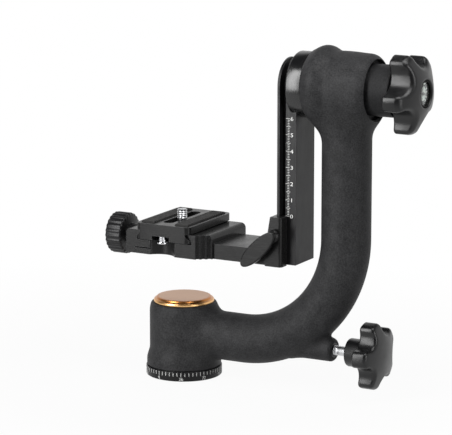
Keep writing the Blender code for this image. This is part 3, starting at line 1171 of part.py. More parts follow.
def make_plate():
    """Quick plate with rubber strips, and the camera screw in its slot."""
    foot_edge = plate_half - PLATE_DOVETAIL
    sides = [
        (plate_half, plate_low), (plate_half, plate_low + PLATE_FOOT_EDGE), (foot_edge, waist_low),
        (foot_edge, flange_under), (plate_half, flange_under), (plate_half, plate_high),
    ]
    outline = [(CLAMP_CENTRE + x, z) for x, z in sides]
    outline += [(CLAMP_CENTRE - x, z) for x, z in reversed(sides)]
    front = -PLATE_LENGTH / 2
    back = front + PLATE_LENGTH
    plate = flat("plate", outline, -back, -front, (0, 0, 0), FACING_Y)
    trim = []
    for end_y, inward in ((front, 1), (back, -1)):
        for side in (-1, 1):
            edge = CLAMP_CENTRE + side * (plate_half + OVERRUN)
            near = CLAMP_CENTRE + side * (plate_half - PLATE_CORNER - OVERRUN)
            points = [(near, end_y - inward * OVERRUN), (edge, end_y - inward * OVERRUN),
                      (edge, end_y + inward * (PLATE_CORNER + OVERRUN))]
            trim.append(flat(f"corner_{end_y}_{side}", points, plate_low - OVERRUN, plate_high + OVERRUN))
    channel_half = PLATE_CHANNEL_WIDTH / 2
    channel = block("channel", (PLATE_CHANNEL_PLACE - channel_half, front - OVERRUN, plate_low - OVERRUN),
                    (PLATE_CHANNEL_PLACE + channel_half, back + OVERRUN, plate_low + PLATE_CHANNEL_DEPTH))
    slot_half = PLATE_SLOT_WIDTH / 2
    slot_run = PLATE_LENGTH / 2 - PLATE_SLOT_MARGIN - slot_half
    slot_outline = arc(PLATE_CHANNEL_PLACE, slot_run, slot_half, 0, math.pi, 8)
    slot_outline += arc(PLATE_CHANNEL_PLACE, -slot_run, slot_half, math.pi, math.tau, 8)
    slot = flat("slot", slot_outline, plate_low - OVERRUN, plate_high + OVERRUN)
    stop_place = (PLATE_CHANNEL_PLACE, front + STOP_SETBACK, 0)
    stop_high = plate_low + PLATE_CHANNEL_DEPTH + STOP_GRIP
    stop_hole = rod("stop_hole", STOP_RADIUS + GAP, plate_low, stop_high + GAP, stop_place)
    cut(plate, *trim, channel, slot, stop_hole)
    for tag, side in (("left", -1), ("right", 1)):
        edges = sorted((CLAMP_CENTRE + side * (plate_half - PAD_INSET),
                        CLAMP_CENTRE + side * (plate_half - PAD_INSET - PAD_WIDTH)))
        recess = block(f"pad_recess_{tag}",
                       (edges[0] - GAP, front + PAD_MARGIN - GAP, plate_high - PAD_SINK),
                       (edges[1] + GAP, back - PAD_MARGIN + GAP, plate_high + OVERRUN))
        cut(plate, recess)
        low = plate_high - PAD_SINK + GAP
        strip = block("pad", (edges[0], front + PAD_MARGIN, low),
                      (edges[1], back - PAD_MARGIN, low + PAD_THICKNESS))
        keep(strip, f"plate_pad_{tag}", RUBBER, plate_axis)
    for step in plate.modifiers:
        step.solver = "MANIFOLD"
    keep(settle(plate), "quick_plate", ANODISED, plate_axis)
    stop_low = plate_low - STOP_HEAD_DROP
    stop_neck = stop_low + STOP_HEAD_HEIGHT
    stop = turned("stop", [
        (0, stop_high), (STOP_RADIUS, stop_high), (STOP_RADIUS, stop_neck), (STOP_HEAD_RADIUS, stop_neck),
        (STOP_HEAD_RADIUS, stop_low), (0, stop_low),
    ], stop_place, steps=SMALL_SIDES)
    keep(stop, "plate_stop_screw", STEEL, plate_axis)
    place = (PLATE_CHANNEL_PLACE, -SCREW_PLACE, 0)
    head_low = plate_low + GAP
    head_high = head_low + SCREW_HEAD_HEIGHT
    screw = turned("camera_screw", [
        (0, plate_high + SCREW_STAND), (SCREW_RADIUS, plate_high + SCREW_STAND), (SCREW_RADIUS, head_high),
        (SCREW_HEAD_RADIUS, head_high), (SCREW_HEAD_RADIUS, head_low), (0, head_low),
    ], place, steps=SMALL_SIDES + SMALL_SIDES // 5)
    reach = SCREW_HEAD_RADIUS + OVERRUN
    slot_half = SCREW_SLOT_WIDTH / 2
    coin = block("coin_slot", (PLATE_CHANNEL_PLACE - reach, -SCREW_PLACE - slot_half, head_low - OVERRUN),
                 (PLATE_CHANNEL_PLACE + reach, -SCREW_PLACE + slot_half, head_low + SCREW_SLOT_DEPTH))
    keep(settle(cut(screw, coin)), "camera_screw", STEEL, screw_axis)
    washer_low = head_high + GAP
    ring = tube("ring", SCREW_WASHER_RADIUS, SCREW_RADIUS + GAP, washer_low,
                washer_low + SCREW_WASHER_THICKNESS, place)
    keep(ring, "camera_screw_washer", NYLON, screw_axis)


make_base()
make_spindle()
make_arm()
make_pan_parts()
make_pan_lock()
make_collar()
make_tilt_lock()
make_bearing_parts()
make_swing()
platform_spots, platform_screw_height, platform_screw_tip = make_carriage()
make_lever()
make_platform(platform_spots, platform_screw_height, platform_screw_tip)
make_plate()
bpy.context.view_layer.update()
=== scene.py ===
"""A gimbal tripod head in a plain studio, dressed piece by piece round its frame."""

from math import acos, atan2, cos, degrees, hypot, pi, radians, sin, tan, tau

import bmesh
import bpy
import numpy as np
from mathutils import Matrix, Vector


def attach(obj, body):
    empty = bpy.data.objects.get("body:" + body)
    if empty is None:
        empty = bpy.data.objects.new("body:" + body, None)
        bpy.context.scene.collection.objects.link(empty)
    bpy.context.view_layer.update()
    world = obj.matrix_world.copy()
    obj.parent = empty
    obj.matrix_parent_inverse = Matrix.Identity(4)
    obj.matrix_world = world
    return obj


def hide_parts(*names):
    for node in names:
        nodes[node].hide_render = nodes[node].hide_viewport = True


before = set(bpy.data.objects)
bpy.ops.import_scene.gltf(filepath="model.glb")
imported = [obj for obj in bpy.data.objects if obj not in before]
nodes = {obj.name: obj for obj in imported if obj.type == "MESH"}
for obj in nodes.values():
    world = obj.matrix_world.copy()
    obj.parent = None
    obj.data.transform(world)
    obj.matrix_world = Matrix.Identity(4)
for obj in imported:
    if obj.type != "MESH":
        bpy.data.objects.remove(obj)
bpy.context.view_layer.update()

# Base plate
# The round plate that is screwed on to the tripod: aluminium, turned on a lathe and anodised black.
# Its rim carries the pan scale, engraved every 6 degrees and filled with white enamel.
MM = 0.001
BASE_RADIUS = 23.9
BASE_TOP = 6.4
BASE_EDGE = 0.7
STEP_RADIUS = 22.3
RIM_TOP = 5.9
BUSH_HOLE = 6.5
TURNING_STEPS = 128
TICK_STEP = 6
NUMBER_STEP = 36
TICK_WIDTH = 0.28
TICK_TOP = 5.6
TICK_LOW = 3.3
LONG_TICK_LOW = 2.95
NUMBER_LOW = 0.75
NUMBER_SIZE = 2.7
ENAMEL_STAND = 0.03
SCALE_TURN = -101.6


def paint(code):
    """The linear colour of an sRGB hex value."""
    shares = [int(code[i:i + 2], 16) / 255 for i in (1, 3, 5)]
    return [s / 12.92 if s <= 0.04045 else ((s + 0.055) / 1.055) ** 2.4 for s in shares] + [1.0]


def add(owner, kind, inputs=None, **settings):
    """One shader node of a material or the world; each input is a value or another node's output."""
    made = owner.node_tree.nodes.new("ShaderNode" + kind)
    for key, value in settings.items():
        setattr(made, key, value)
    for key, value in (inputs or {}).items():
        if isinstance(value, bpy.types.NodeSocket):
            owner.node_tree.links.new(value, made.inputs[key])
        else:
            made.inputs[key].default_value = value
    return made


def noise(owner, place, scale, detail, roughness=0.5):
    """A cloudy pattern about 0.5, at points in millimetres."""
    return add(owner, "TexNoise", {"Vector": place, "Scale": scale, "Detail": detail,
                                   "Roughness": roughness}).outputs["Fac"]


def calc(owner, operation, a, b):
    """One step of arithmetic."""
    return add(owner, "Math", {0: a, 1: b}, operation=operation).outputs[0]


def vector(owner, operation, a, b=(0, 0, 0)):
    """One step of arithmetic with points; its outputs hold the point or the number that it gives."""
    return add(owner, "VectorMath", {0: a, 1: b}, operation=operation).outputs


def remap(owner, value, low, high, to_low=0.0, to_high=1.0):
    """Stretches the values between low and high over another range."""
    return add(owner, "MapRange", {"Value": value, "From Min": low, "From Max": high,
                                   "To Min": to_low, "To Max": to_high}).outputs[0]


def blend(owner, share, *colours):
    """A colour between two, each an sRGB hex value, a linear colour or another node's output."""
    first, second = [paint(c) if isinstance(c, str) else c for c in colours]
    return add(owner, "Mix", {"Factor": share, 6: first, 7: second}, data_type="RGBA").outputs[2]


def start_material(name, code, roughness, metallic=0.0, level=0.5, ior=1.5):
    """A material with its main shader set, and the piece's own coordinates in millimetres."""
    made = bpy.data.materials.new(name)
    made.use_nodes = True
    for key, value in {"Base Color": paint(code), "Roughness": roughness, "Metallic": metallic,
                       "Specular IOR Level": level, "IOR": ior}.items():
        made.node_tree.nodes["Principled BSDF"].inputs[key].default_value = value
    place = add(made, "TexCoord").outputs["Object"]
    return made, add(made, "VectorMath", {0: place, "Scale": 1 / MM}, operation="SCALE").outputs[0]


def lay(made, colour=None, rough=None, bump=None):
    """Links what varies over a surface; a bump is its pattern, its strength and its depth."""
    normal = None
    if bump:
        pattern, strength, depth = bump
        normal = add(made, "Bump", {"Height": pattern, "Strength": strength, "Distance": depth * MM}).outputs[0]
    for socket, key in ((colour, "Base Color"), (rough, "Roughness"), (normal, "Normal")):
        if socket is not None:
            made.node_tree.links.new(socket, made.node_tree.nodes["Principled BSDF"].inputs[key])
    return made


def worn_edges(made, radius, low, high):
    """How far a point is on a worn edge, from 0 to 1, by how far its rounded normal leans."""
    lean = add(made, "Bevel", {"Radius": radius * MM}, samples=4).outputs[0]
    flat = add(made, "NewGeometry").outputs["Normal"]
    return remap(made, vector(made, "DOT_PRODUCT", lean, flat)["Value"], high, low)


def anodised(name, code, roughness, level, lathe_axis=None, centre=(0, 0, 0), grain=(0.05, 1, 1)):
    """Black anodised aluminium: a dyed oxide skin on metal, with the cutter's fine lines under it.

    The lines are really about 0.05 mm apart; they are drawn about ten times as coarse to show at all.
    """
    made, place = start_material(name, code, roughness, level=level)
    if lathe_axis is None:
        lines_at = vector(made, "MULTIPLY", place, grain)[0]
    else:
        away = vector(made, "SUBTRACT", place, centre)[0]
        across = vector(made, "MULTIPLY", away, [float(i != lathe_axis) for i in range(3)])[0]
        length = vector(made, "LENGTH", across)["Value"]
        along = add(made, "SeparateXYZ", {0: away}).outputs[lathe_axis]
        lines_at = add(made, "CombineXYZ", {0: length, 1: along, 2: 0.0}).outputs[0]
    lines = noise(made, lines_at, 2.2, 3.0)
    both = calc(made, "ADD", lines, noise(made, place, 0.12, 2.0))
    rough = remap(made, both, 0.7, 1.3, roughness - 0.05, roughness + 0.07)
    # Edges lighten in patches towards grey: partly rubbed wear, partly a painted highlight along the deburred
    # edges.
    worn = calc(made, "MULTIPLY", worn_edges(made, 0.35, 0.93, 0.995), noise(made, place, 0.6, 4.0))
    colour = blend(made, calc(made, "MULTIPLY", worn, 0.5), code, "#77777a")
    return lay(made, colour, rough, (lines, 0.10, 0.02))


def mottled(name, code, roughness, scale, detail, first, second, bump=None, **settings):
    """A material in two close colours, mixed by a cloudy pattern; a bump is its strength and depth."""
    made, place = start_material(name, code, roughness, **settings)
    patch = noise(made, place, scale, detail)
    return lay(made, blend(made, patch, first, second), bump=bump and (patch, *bump))


def rounded(profile, steps=4):
    """The profile with an arc at each corner that names a radius as its third number."""
    count = len(profile)
    points = []
    for i, corner in enumerate(profile):
        here = Vector(corner[:2])
        if len(corner) < 3 or i in (0, count - 1):
            points.append(tuple(here))
            continue
        back, on = Vector(profile[i - 1][:2]) - here, Vector(profile[i + 1][:2]) - here
        half = back.angle(on) / 2
        reach = min(corner[2] / tan(half), 0.49 * back.length, 0.49 * on.length)
        back, on = back.normalized(), on.normalized()
        centre = here + (back + on).normalized() * (reach / cos(half))
        first, last = here + back * reach - centre, here + on * reach - centre
        for step in range(steps + 1):
            share = step / steps
            points.append(tuple(centre + first.normalized().slerp(last.normalized(), share) * first.length))
    return points


def new_object(name, data):
    """An object in the scene."""
    made = bpy.data.objects.new(name, data)
    bpy.context.scene.collection.objects.link(made)
    return made


def applied(made):
    """The mesh that a text, or a piece with modifiers, comes to."""
    bpy.context.view_layer.update()
    return bpy.data.meshes.new_from_object(made.evaluated_get(bpy.context.evaluated_depsgraph_get()))


def piece(name, solid):
    """The bmesh, drawn in millimetres, as an object in metres with its faces turned outward."""
    bmesh.ops.remove_doubles(solid, verts=solid.verts, dist=0.0005)
    bmesh.ops.recalc_face_normals(solid, faces=solid.faces)
    mesh = bpy.data.meshes.new(name)
    solid.to_mesh(mesh)
    solid.free()
    mesh.transform(Matrix.Scale(MM, 4))
    return new_object(name, mesh)


def on_axis(axis, centre, radius, height, turn):
    """The point at a radius, a height and a turn about a line along X, Y or Z through centre."""
    across, up = radius * cos(turn), radius * sin(turn)
    spot = {"X": (height, across, up), "Y": (across, height, up), "Z": (across, up, height)}[axis]
    return [a + b for a, b in zip(spot, centre)]


def turned(name, profile, axis="Z", centre=(0, 0, 0), steps=TURNING_STEPS):
    """A solid of revolution from (radius, height) points; it closes on its axis or on itself."""
    solid = bmesh.new()
    rings = []
    for radius, height in profile:
        if radius < 0.001:
            rings.append([solid.verts.new(on_axis(axis, centre, 0, height, 0))])
        else:
            rings.append([solid.verts.new(on_axis(axis, centre, radius, height, tau * i / steps))
                          for i in range(steps)])
    if len(rings[0]) > 1:
        rings.append(rings[0])
    for ring, following in zip(rings, rings[1:]):
        for i in range(steps):
            j = (i + 1) % steps
            corners = list(dict.fromkeys([ring[i % len(ring)], ring[j % len(ring)],
                                          following[j % len(following)], following[i % len(following)]]))
            if len(corners) > 2:
                solid.faces.new(corners)
    return piece(name, solid)


def fit(made, material, body, *replaced, slot=None):
    """Gives a piece its material and its body; it stands for the nodes that it replaces."""
    made.data.materials.clear()
    made.data.materials.append(material)
    if not made.data.has_custom_normals:
        made.data.shade_smooth()
        made.data.set_sharp_from_angle(angle=radians(35))
    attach(made, body)
    if replaced:
        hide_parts(*replaced)


def dress(material, *names):
    """Gives frame nodes a material."""
    for name in names:
        nodes[name].data.materials.clear()
        nodes[name].data.materials.append(material)


def numeral(text, size, place_point):
    """A number's outline as a thin solid in millimetres, each of its points moved by place_point."""
    curve = bpy.data.curves.new("numeral", "FONT")
    curve.body = text
    curve.size = size
    curve.align_x = "CENTER"
    curve.extrude = ENAMEL_STAND
    curve.resolution_u = 3
    holder = new_object("numeral", curve)
    drawn = applied(holder)
    bpy.data.objects.remove(holder)
    points = [place_point(*point.co) for point in drawn.vertices]
    faces = [list(face.vertices) for face in drawn.polygons]
    bpy.data.meshes.remove(drawn)
    return points, faces


def add_faces(solid, points, faces):
    """Adds a list of points and faces to a bmesh."""
    made = [solid.verts.new(point) for point in points]
    for face in faces:
        solid.faces.new([made[i] for i in face])


def add_brick(solid, low, high, place_point=lambda *point: point):
    """Adds a small box between two corners, each corner moved by place_point."""
    points = [place_point(x, y, z) for x in (low[0], high[0]) for y in (low[1], high[1])
              for z in (low[2], high[2])]
    add_faces(solid, points, [(0, 1, 3, 2), (4, 6, 7, 5), (0, 4, 5, 1), (2, 3, 7, 6), (0, 2, 6, 4),
                              (1, 5, 7, 3)])


base_plate = turned("base_plate_turned", rounded([
    (BUSH_HOLE, BASE_TOP), (STEP_RADIUS, BASE_TOP), (STEP_RADIUS, RIM_TOP), (BASE_RADIUS, RIM_TOP, 0.3),
    (BASE_RADIUS, 0, BASE_EDGE), (BUSH_HOLE, 0),
]))
black_turned = anodised("anodised_aluminium_turned", "#101011", 0.36, 0.2, 2)
# The enamel is wiped into the engraving: an opaque paint, dull, a little uneven where it was wiped.
white_enamel = mottled("white_enamel", "#d9dad8", 0.5, 2.5, 3.0, "#e9e9e7", "#b9bab8", (0.2, 0.02))


def round_rim(angle):
    """Wraps a flat drawing on to the base plate's rim at an angle."""
    start = radians(angle + SCALE_TURN)

    def place_point(x, y, z):
        turn = start + x / BASE_RADIUS
        radius = BASE_RADIUS + z
        return radius * cos(turn), radius * sin(turn), y
    return place_point


scale = bmesh.new()
for angle in range(0, 360, TICK_STEP):
    low = LONG_TICK_LOW if angle % NUMBER_STEP == 0 else TICK_LOW
    add_brick(scale, (-TICK_WIDTH / 2, low, -0.2), (TICK_WIDTH / 2, TICK_TOP, ENAMEL_STAND), round_rim(angle))
    if angle % NUMBER_STEP == 0:
        wrap = round_rim(angle)
        add_faces(scale, *numeral(str(angle), NUMBER_SIZE, lambda x, y, z: wrap(x, y + NUMBER_LOW, z)))
pan_scale = piece("pan_scale", scale)

fit(base_plate, black_turned, "base", "base_plate", slot="black_anodised")
fit(pan_scale, white_enamel, "base")

# Threads and screws of the base
# A steel bush with the tripod thread, a brass reducer inside it and three countersunk steel screws.
# They are bought parts: bright zinc-plated steel and free-turning brass, with the marks of the lathe.


def bare_metal(name, code, roughness, lines_scale=1.6):
    """Bare turned metal: fine scratches round it, and brighter where it was rubbed."""
    made, place = start_material(name, code, roughness, 1.0)
    scratch = noise(made, place, lines_scale, 6.0, 0.7)
    rough = remap(made, scratch, 0.3, 0.7, roughness - 0.06, roughness + 0.1)
    dull = [c * 0.72 for c in paint(code)[:3]] + [1.0]
    return lay(made, blend(made, scratch, code, dull), rough, (scratch, 0.04, 0.02))


zinc_steel = bare_metal("zinc_plated_steel", "#d2d3d5", 0.3, 0.9)
brass = bare_metal("turned_brass", "#c9a45c", 0.3)
THREAD_PITCH = 1.59
thread_profile = []
height = 9.8
while height > 0.3 + THREAD_PITCH:
    thread_profile += [(4.8, height), (5.2, height - THREAD_PITCH / 2)]
    height -= THREAD_PITCH
thread_bush = turned("thread_bush_cut", [
    (6.2, 9.8), (6.2, 0.5), (6.0, 0.3), (5.2, 0.3), *reversed(thread_profile)])
fit(thread_bush, zinc_steel, "base", "thread_bush", slot="steel")
dress(brass, "reducer_bush")
dress(zinc_steel, "base_screw_1", "base_screw_2", "base_screw_3", "pan_spindle", "pan_brake_sleeve", "pan_nut")

# Arm
# The J-shaped arm is one aluminium casting, powder-coated with a rough black coat.
# Its housing turns on the base, the round tube sweeps up, and the barrel on top holds the tilt bearings.
ARM_RADIUS = 15.2
ARM_FOOT = 27.45
ARM_REACH = 113.0
ARM_BEND = 70.2
TILT_Z = 190.5
HOUSING_RADIUS = 21.6
HOUSING_FOOT = 23.4
HOUSING_LOW = 6.9
HOUSING_TOP = 46.4
HOUSING_NECK = 19.8
SHOULDER_LOW = 40.2
FLARE_HIGH = 18.1
FLARE_LOW = 9.9
BARREL_RADIUS = 21.4
BARREL_LEFT = 91.9
BARREL_RIGHT = 133.6
BARREL_ROUNDING = 6.6
BULGE_X = 98.9
BULGE_RIDGE = 17.36
BULGE_ROUNDING = 7.3
BOSS_RADIUS = 7.3
BOSS_END = 106.3
BOSS_ROUNDING = 2.6
SKIN_STEP = 1.0


def soft_join(a, b, reach):
    """The union of two distance fields, with a fillet about as wide as reach."""
    share = np.clip(0.5 + 0.5 * (b - a) / reach, 0, 1)
    return b + (a - b) * share - reach * share * (1 - share)


def outline_distance(r, h, outline):
    """Signed distance from points (r, h) to a closed outline, negative inside."""
    best = np.full(r.shape, 1e9)
    inside = np.zeros(r.shape, bool)
    for (ar, ah), (br, bh) in zip(outline, outline[1:] + outline[:1]):
        er, eh = br - ar, bh - ah
        share = np.clip(((r - ar) * er + (h - ah) * eh) / (er * er + eh * eh), 0, 1)
        best = np.minimum(best, (r - ar - share * er) ** 2 + (h - ah - share * eh) ** 2)
        if eh:
            crosses = (ah > h) != (bh > h)
            inside ^= crosses & (r < ar + (h - ah) * er / eh)
    return np.where(inside, -1, 1) * np.sqrt(best)


def bow(centre, radius, start, end, steps=10, rise=None):
    """Points on an arc from one angle to another, in degrees; rise makes it part of an oval."""
    turns = [radians(start + (end - start) * i / steps) for i in range(steps + 1)]
    return [(centre[0] + radius * cos(t), centre[1] + (rise or radius) * sin(t)) for t in turns]


flare = [(HOUSING_RADIUS + (HOUSING_FOOT - HOUSING_RADIUS) * share * share * (3 - 2 * share),
          FLARE_HIGH + (FLARE_LOW - FLARE_HIGH) * share) for share in (i / 8 for i in range(9))]
housing_outline = [
    (-9, HOUSING_TOP),
    *bow((HOUSING_NECK, SHOULDER_LOW), HOUSING_RADIUS - HOUSING_NECK, 90, 0, rise=HOUSING_TOP - SHOULDER_LOW),
    *flare, (HOUSING_FOOT, 2.0), (-9, 2.0),
]
barrel_outline = [
    (-9, BARREL_RIGHT),
    *bow((BARREL_RADIUS - BARREL_ROUNDING, BARREL_RIGHT - BARREL_ROUNDING), BARREL_ROUNDING, 90, 0),
    (BARREL_RADIUS, BARREL_LEFT), (-9, BARREL_LEFT),
]
bulge_outline = [
    (-9, 99.0), *[(radius, max(x, BARREL_LEFT)) for radius, x in bow(
        (BULGE_RIDGE, BULGE_X), BULGE_ROUNDING, 88, -88, 20)], (-9, BARREL_LEFT),
]
boss_outline = [
    (-4, BOSS_END),
    *bow((BOSS_RADIUS - BOSS_ROUNDING, BOSS_END - BOSS_ROUNDING), BOSS_ROUNDING, 90, 0, 6),
    (BOSS_RADIUS, 78.0), (-4, 78.0),
]


def arm_distance(points):
    """Signed distance to the casting's outer skin."""
    x, y, z = np.moveaxis(points, -1, 0)
    bend_x, bend_z = ARM_REACH - ARM_BEND, ARM_FOOT + ARM_BEND
    foot = np.hypot(np.clip(12.0 - x, 0, None), z - ARM_FOOT) + np.clip(x - bend_x, 0, None) * 9
    upright = np.hypot(np.clip(z - TILT_Z, 0, None), x - ARM_REACH) + np.clip(bend_z - z, 0, None) * 9
    ring = np.abs(np.hypot(x - bend_x, z - bend_z) - ARM_BEND)
    ring += 9 * (np.clip(bend_x - x, 0, None) + np.clip(z - bend_z, 0, None))
    line = np.minimum(np.minimum(foot, upright), ring)
    tube = np.hypot(line, y) - ARM_RADIUS
    housing = outline_distance(np.hypot(x, y), z, housing_outline)
    across = np.hypot(y, z - TILT_Z)
    barrel = soft_join(outline_distance(across, x, barrel_outline),
                       outline_distance(across, x, bulge_outline), 3.0)
    boss = outline_distance(np.hypot(y, z - ARM_FOOT), x, boss_outline)
    return soft_join(soft_join(soft_join(tube, housing, 7.0), boss, 4.0), barrel, 11.0)


def skin(name, distance, low, high, step):
    """A closed mesh of quads on the surface where the distance is nought."""
    counts = [int((b - a) / step) + 2 for a, b in zip(low, high)]
    lines = [low[i] + step * np.arange(counts[i]) for i in range(3)]
    inside = np.stack([distance(np.stack(np.meshgrid([x], lines[1], lines[2], indexing="ij"), -1))[0] < 0
                       for x in lines[0]])
    full = inside.astype(np.int8)
    total = sum(full[i:counts[0] - 1 + i, j:counts[1] - 1 + j, k:counts[2] - 1 + k]
                for i in (0, 1) for j in (0, 1) for k in (0, 1))
    crossed = (total > 0) & (total < 8)
    number = np.full(crossed.shape, -1)
    number[crossed] = np.arange(np.count_nonzero(crossed))
    points = (np.argwhere(crossed) + 0.5) * step + np.array(low)
    nudge = np.eye(3) * 0.02
    for _ in range(5):
        here = distance(points)
        slope = np.stack([(distance(points + d) - distance(points - d)) / 0.04 for d in nudge], -1)
        points -= slope * (here / np.maximum((slope ** 2).sum(-1), 0.2))[:, None]
    faces = []
    for axis in range(3):
        change = np.diff(full, axis=axis)
        b, c = (axis + 1) % 3, (axis + 2) % 3
        spots = np.argwhere(change != 0)
        spots = spots[(spots[:, b] > 0) & (spots[:, c] > 0)]
        sign = change[tuple(spots.T)]
        step_b, step_c = np.eye(3, dtype=int)[[b, c]]
        quads = np.stack([number[tuple((spots - offset).T)]
                          for offset in (0 * step_b, step_b, step_b + step_c, step_c)], -1)
        quads[sign > 0] = quads[sign > 0][:, ::-1]
        faces.append(quads)
    mesh = bpy.data.meshes.new(name)
    mesh.from_pydata((points * MM).tolist(), [], np.concatenate(faces).tolist())
    return new_object(name, mesh)


def settle(made):
    """Applies a piece's modifiers and removes the tools that they used."""
    tools = [step.object for step in made.modifiers if step.type == "BOOLEAN"]
    mesh = applied(made)
    made.modifiers.clear()
    made.data = mesh
    for tool in tools:
        bpy.data.objects.remove(tool)
    return made


def carve(made, *tools, operation="DIFFERENCE", solver="EXACT"):
    """Cuts the tools out of a piece, or joins them to it."""
    for tool in tools:
        step = made.modifiers.new(tool.name, "BOOLEAN")
        step.operation = operation
        step.solver = solver
        step.object = tool
    return settle(made)


def powder_coat(name, dark, light):
    """Rough powder coat: fused grains of epoxy, which scatter light to a soft satin.

    The grains are really about 0.3 mm across; they are drawn three times as coarse to show. A slow
    change in how thick the coat lies shows as faint clouds, and edges are rubbed a little lighter.
    """
    made, place = start_material(name, dark, 0.6, level=0.15)
    grain = noise(made, place, 1.1, 5.0, 0.7)
    cloud = calc(made, "MULTIPLY", noise(made, place, 0.16, 3.0), 0.3)
    shade = remap(made, calc(made, "ADD", grain, cloud), 0.48, 0.82)
    wear = calc(made, "MULTIPLY", worn_edges(made, 0.5, 0.9, 0.99), 0.12)
    colour = blend(made, wear, blend(made, shade, dark, light), "#6a6a6c")
    return lay(made, colour, remap(made, grain, 0.3, 0.7, 0.52, 0.66), (grain, 0.5, 0.12))


arm = skin("arm_casting", arm_distance, (-26, -27, 0), (137, 27, 219), SKIN_STEP)
tilt_line = (0, 0, TILT_Z)
lock_line = (0, 0, ARM_FOOT)
pan_bore = turned("pan_bore", [
    (0, 60), (17.3, 60), (17.3, 42.85), (15.3, 42.85), (15.3, 35.4), (12.5, 35.4), (12.5, 19.5), (15.3, 19.5),
    (15.3, 11.4), (18.8, 11.4), (18.8, HOUSING_LOW), (40, HOUSING_LOW), (40, -5), (0, -5),
])
tilt_bore = turned("tilt_bore", [
    (0, 140), (19.6, 140), *rounded([(19.6, 133.6), (18.1, 131.9, 1.2), (18.1, 128.9)], 3), (15.3, 128.9),
    (15.3, 117.2), (12.5, 117.2), (12.5, 99.9), (15.3, 99.9), (15.3, 80), (0, 80),
], "X", tilt_line)
lock_bore = turned("lock_bore", [
    (0, 110), (5.2, 110), (5.2, 95.0), (3.3, 95.0), (3.3, 19.9), (4.8, 19.9), (4.8, 10.4), (0, 10.4),
], "X", lock_line, 48)
carve(arm, pan_bore, tilt_bore, lock_bore, solver="MANIFOLD")
fit(arm, powder_coat("powder_coat", "#161617", "#343435"), "arm", "j_arm", slot="coated_casting")
arm.data.set_sharp_from_angle(angle=radians(50))

# Bushes and washers in the housing
# Plain brass bushes and a nylon thrust washer, which the spindle turns in; none of them shows.
# The nylon is moulded: a milky plastic with a waxy sheen.
nylon_white = mottled("moulded_nylon", "#dcd8cc", 0.45, 0.8, 3.0, "#e4e0d6", "#cfcabc", (0.1, 0.05), ior=1.53)
dress(brass, "pan_bush_lower", "pan_bush_upper", "pan_lock_pad")
dress(bare_metal("black_oxide_steel", "#2a2a2b", 0.4), "pan_lock_insert")
dress(nylon_white, "pan_thrust_washer", "tilt_thrust_washer")

# Cap
# A turned aluminium cap closes the housing over the spindle. It is anodised gold: the top is blasted
# to a soft tan, and the rolled rim below it is polished and shows bright and brown bands: the bright
# lower band is a painted highlight and the brown upper band is painted shade.
CAP_LOW = 46.7
CAP_HIGH = 50.0


def gold_cap():
    """Gold anodised aluminium: metal seen through a dyed skin, matt on top; its rim is painted light gold low
    and brown high, a painted highlight and painted shade.
    """
    made, place = start_material("gold_anodised_aluminium", "#d39a52", 0.2, 1.0)
    height = add(made, "SeparateXYZ", {0: place}).outputs[2]
    top = remap(made, height, CAP_HIGH - 0.12, CAP_HIGH - 0.04)
    # The rim's colour runs from light gold at its foot, a painted highlight, to brown at its shoulder, painted
    # shade; side is the share between them.
    side = remap(made, height, CAP_LOW + 0.9, CAP_LOW + 2.4)
    grit = noise(made, place, 2.6, 4.0)
    rim = blend(made, side, "#f0c083", "#b5763f")
    sand = blend(made, grit, "#e6c6ae", "#d6b197")
    return lay(made, blend(made, top, rim, sand), remap(made, top, 0.0, 1.0, 0.3, 0.5), (grit, 0.15, 0.03))


cap = turned("cap_turned", rounded([
    (0, CAP_HIGH), (15.1, CAP_HIGH, 0.1), (16.9, CAP_HIGH - 0.18, 0.3), (17.5, 48.8, 0.5),
    (18.6, 48.5, 0.6), (19.04, 47.6, 0.5), (19.0, CAP_LOW, 0.2), (17.0, CAP_LOW), (17.0, 43.3),
    (14.2, 43.3), (14.2, 48.1), (0, 48.1),
]))
fit(cap, gold_cap(), "arm", "pan_cap", slot="gold_anodised")

# Pan lock
# A long steel stud runs through the arm's boss to the spindle. Its five-lobed knob is moulded from
# black glass-filled nylon, with a fine spark-eroded grain and soft edges.
LOBES = 5
PAN_HUB_LEFT = 115.8
PAN_GRIP_LEFT = 127.0
PAN_FACE_MIDDLE = 140.6
PAN_FACE_RADIUS = 54.0


def lobed_outline(radius, waist, valley, corner, phase):
    """Points round a lobed knob: each lobe has a round tip, two corners and half a valley each side."""
    valley_at, corner_at = waist + valley, radius - corner
    spread = valley + corner
    cosine = (valley_at ** 2 + corner_at ** 2 - spread ** 2) / (2 * valley_at * corner_at)
    offset = degrees(acos(cosine))
    half = 180 / LOBES
    points = []
    for lobe in range(LOBES):
        middle = 90 - phase + 2 * half * lobe
        rays = {"valley": (valley_at, middle + half), "before": (corner_at, middle + half - offset),
                "after": (corner_at, middle + half + offset)}
        spots = {key: Vector((r * cos(radians(t)), r * sin(radians(t))))
                 for key, (r, t) in rays.items()}

        def bearing(origin, target):
            gap = spots[target] - spots[origin]
            return degrees(atan2(gap.y, gap.x))

        start = rays["before"][1]
        contact = start + (bearing("before", "valley") - start) % 360
        points += bow(spots["before"], corner, start, contact, 5)
        start = contact + 180
        end = start - (start - bearing("valley", "after")) % 360
        points += bow(spots["valley"], valley, start, end, 12)[1:-1]
        last = rays["after"][1]
        back = last - (last - end - 180) % 360
        points += bow(spots["after"], corner, back, last, 5)
        span = (90 - phase + 2 * half * (lobe + 1) + half - offset) - last
        points += bow((0, 0), radius, last, last + span, 4)[1:-1]
    return points


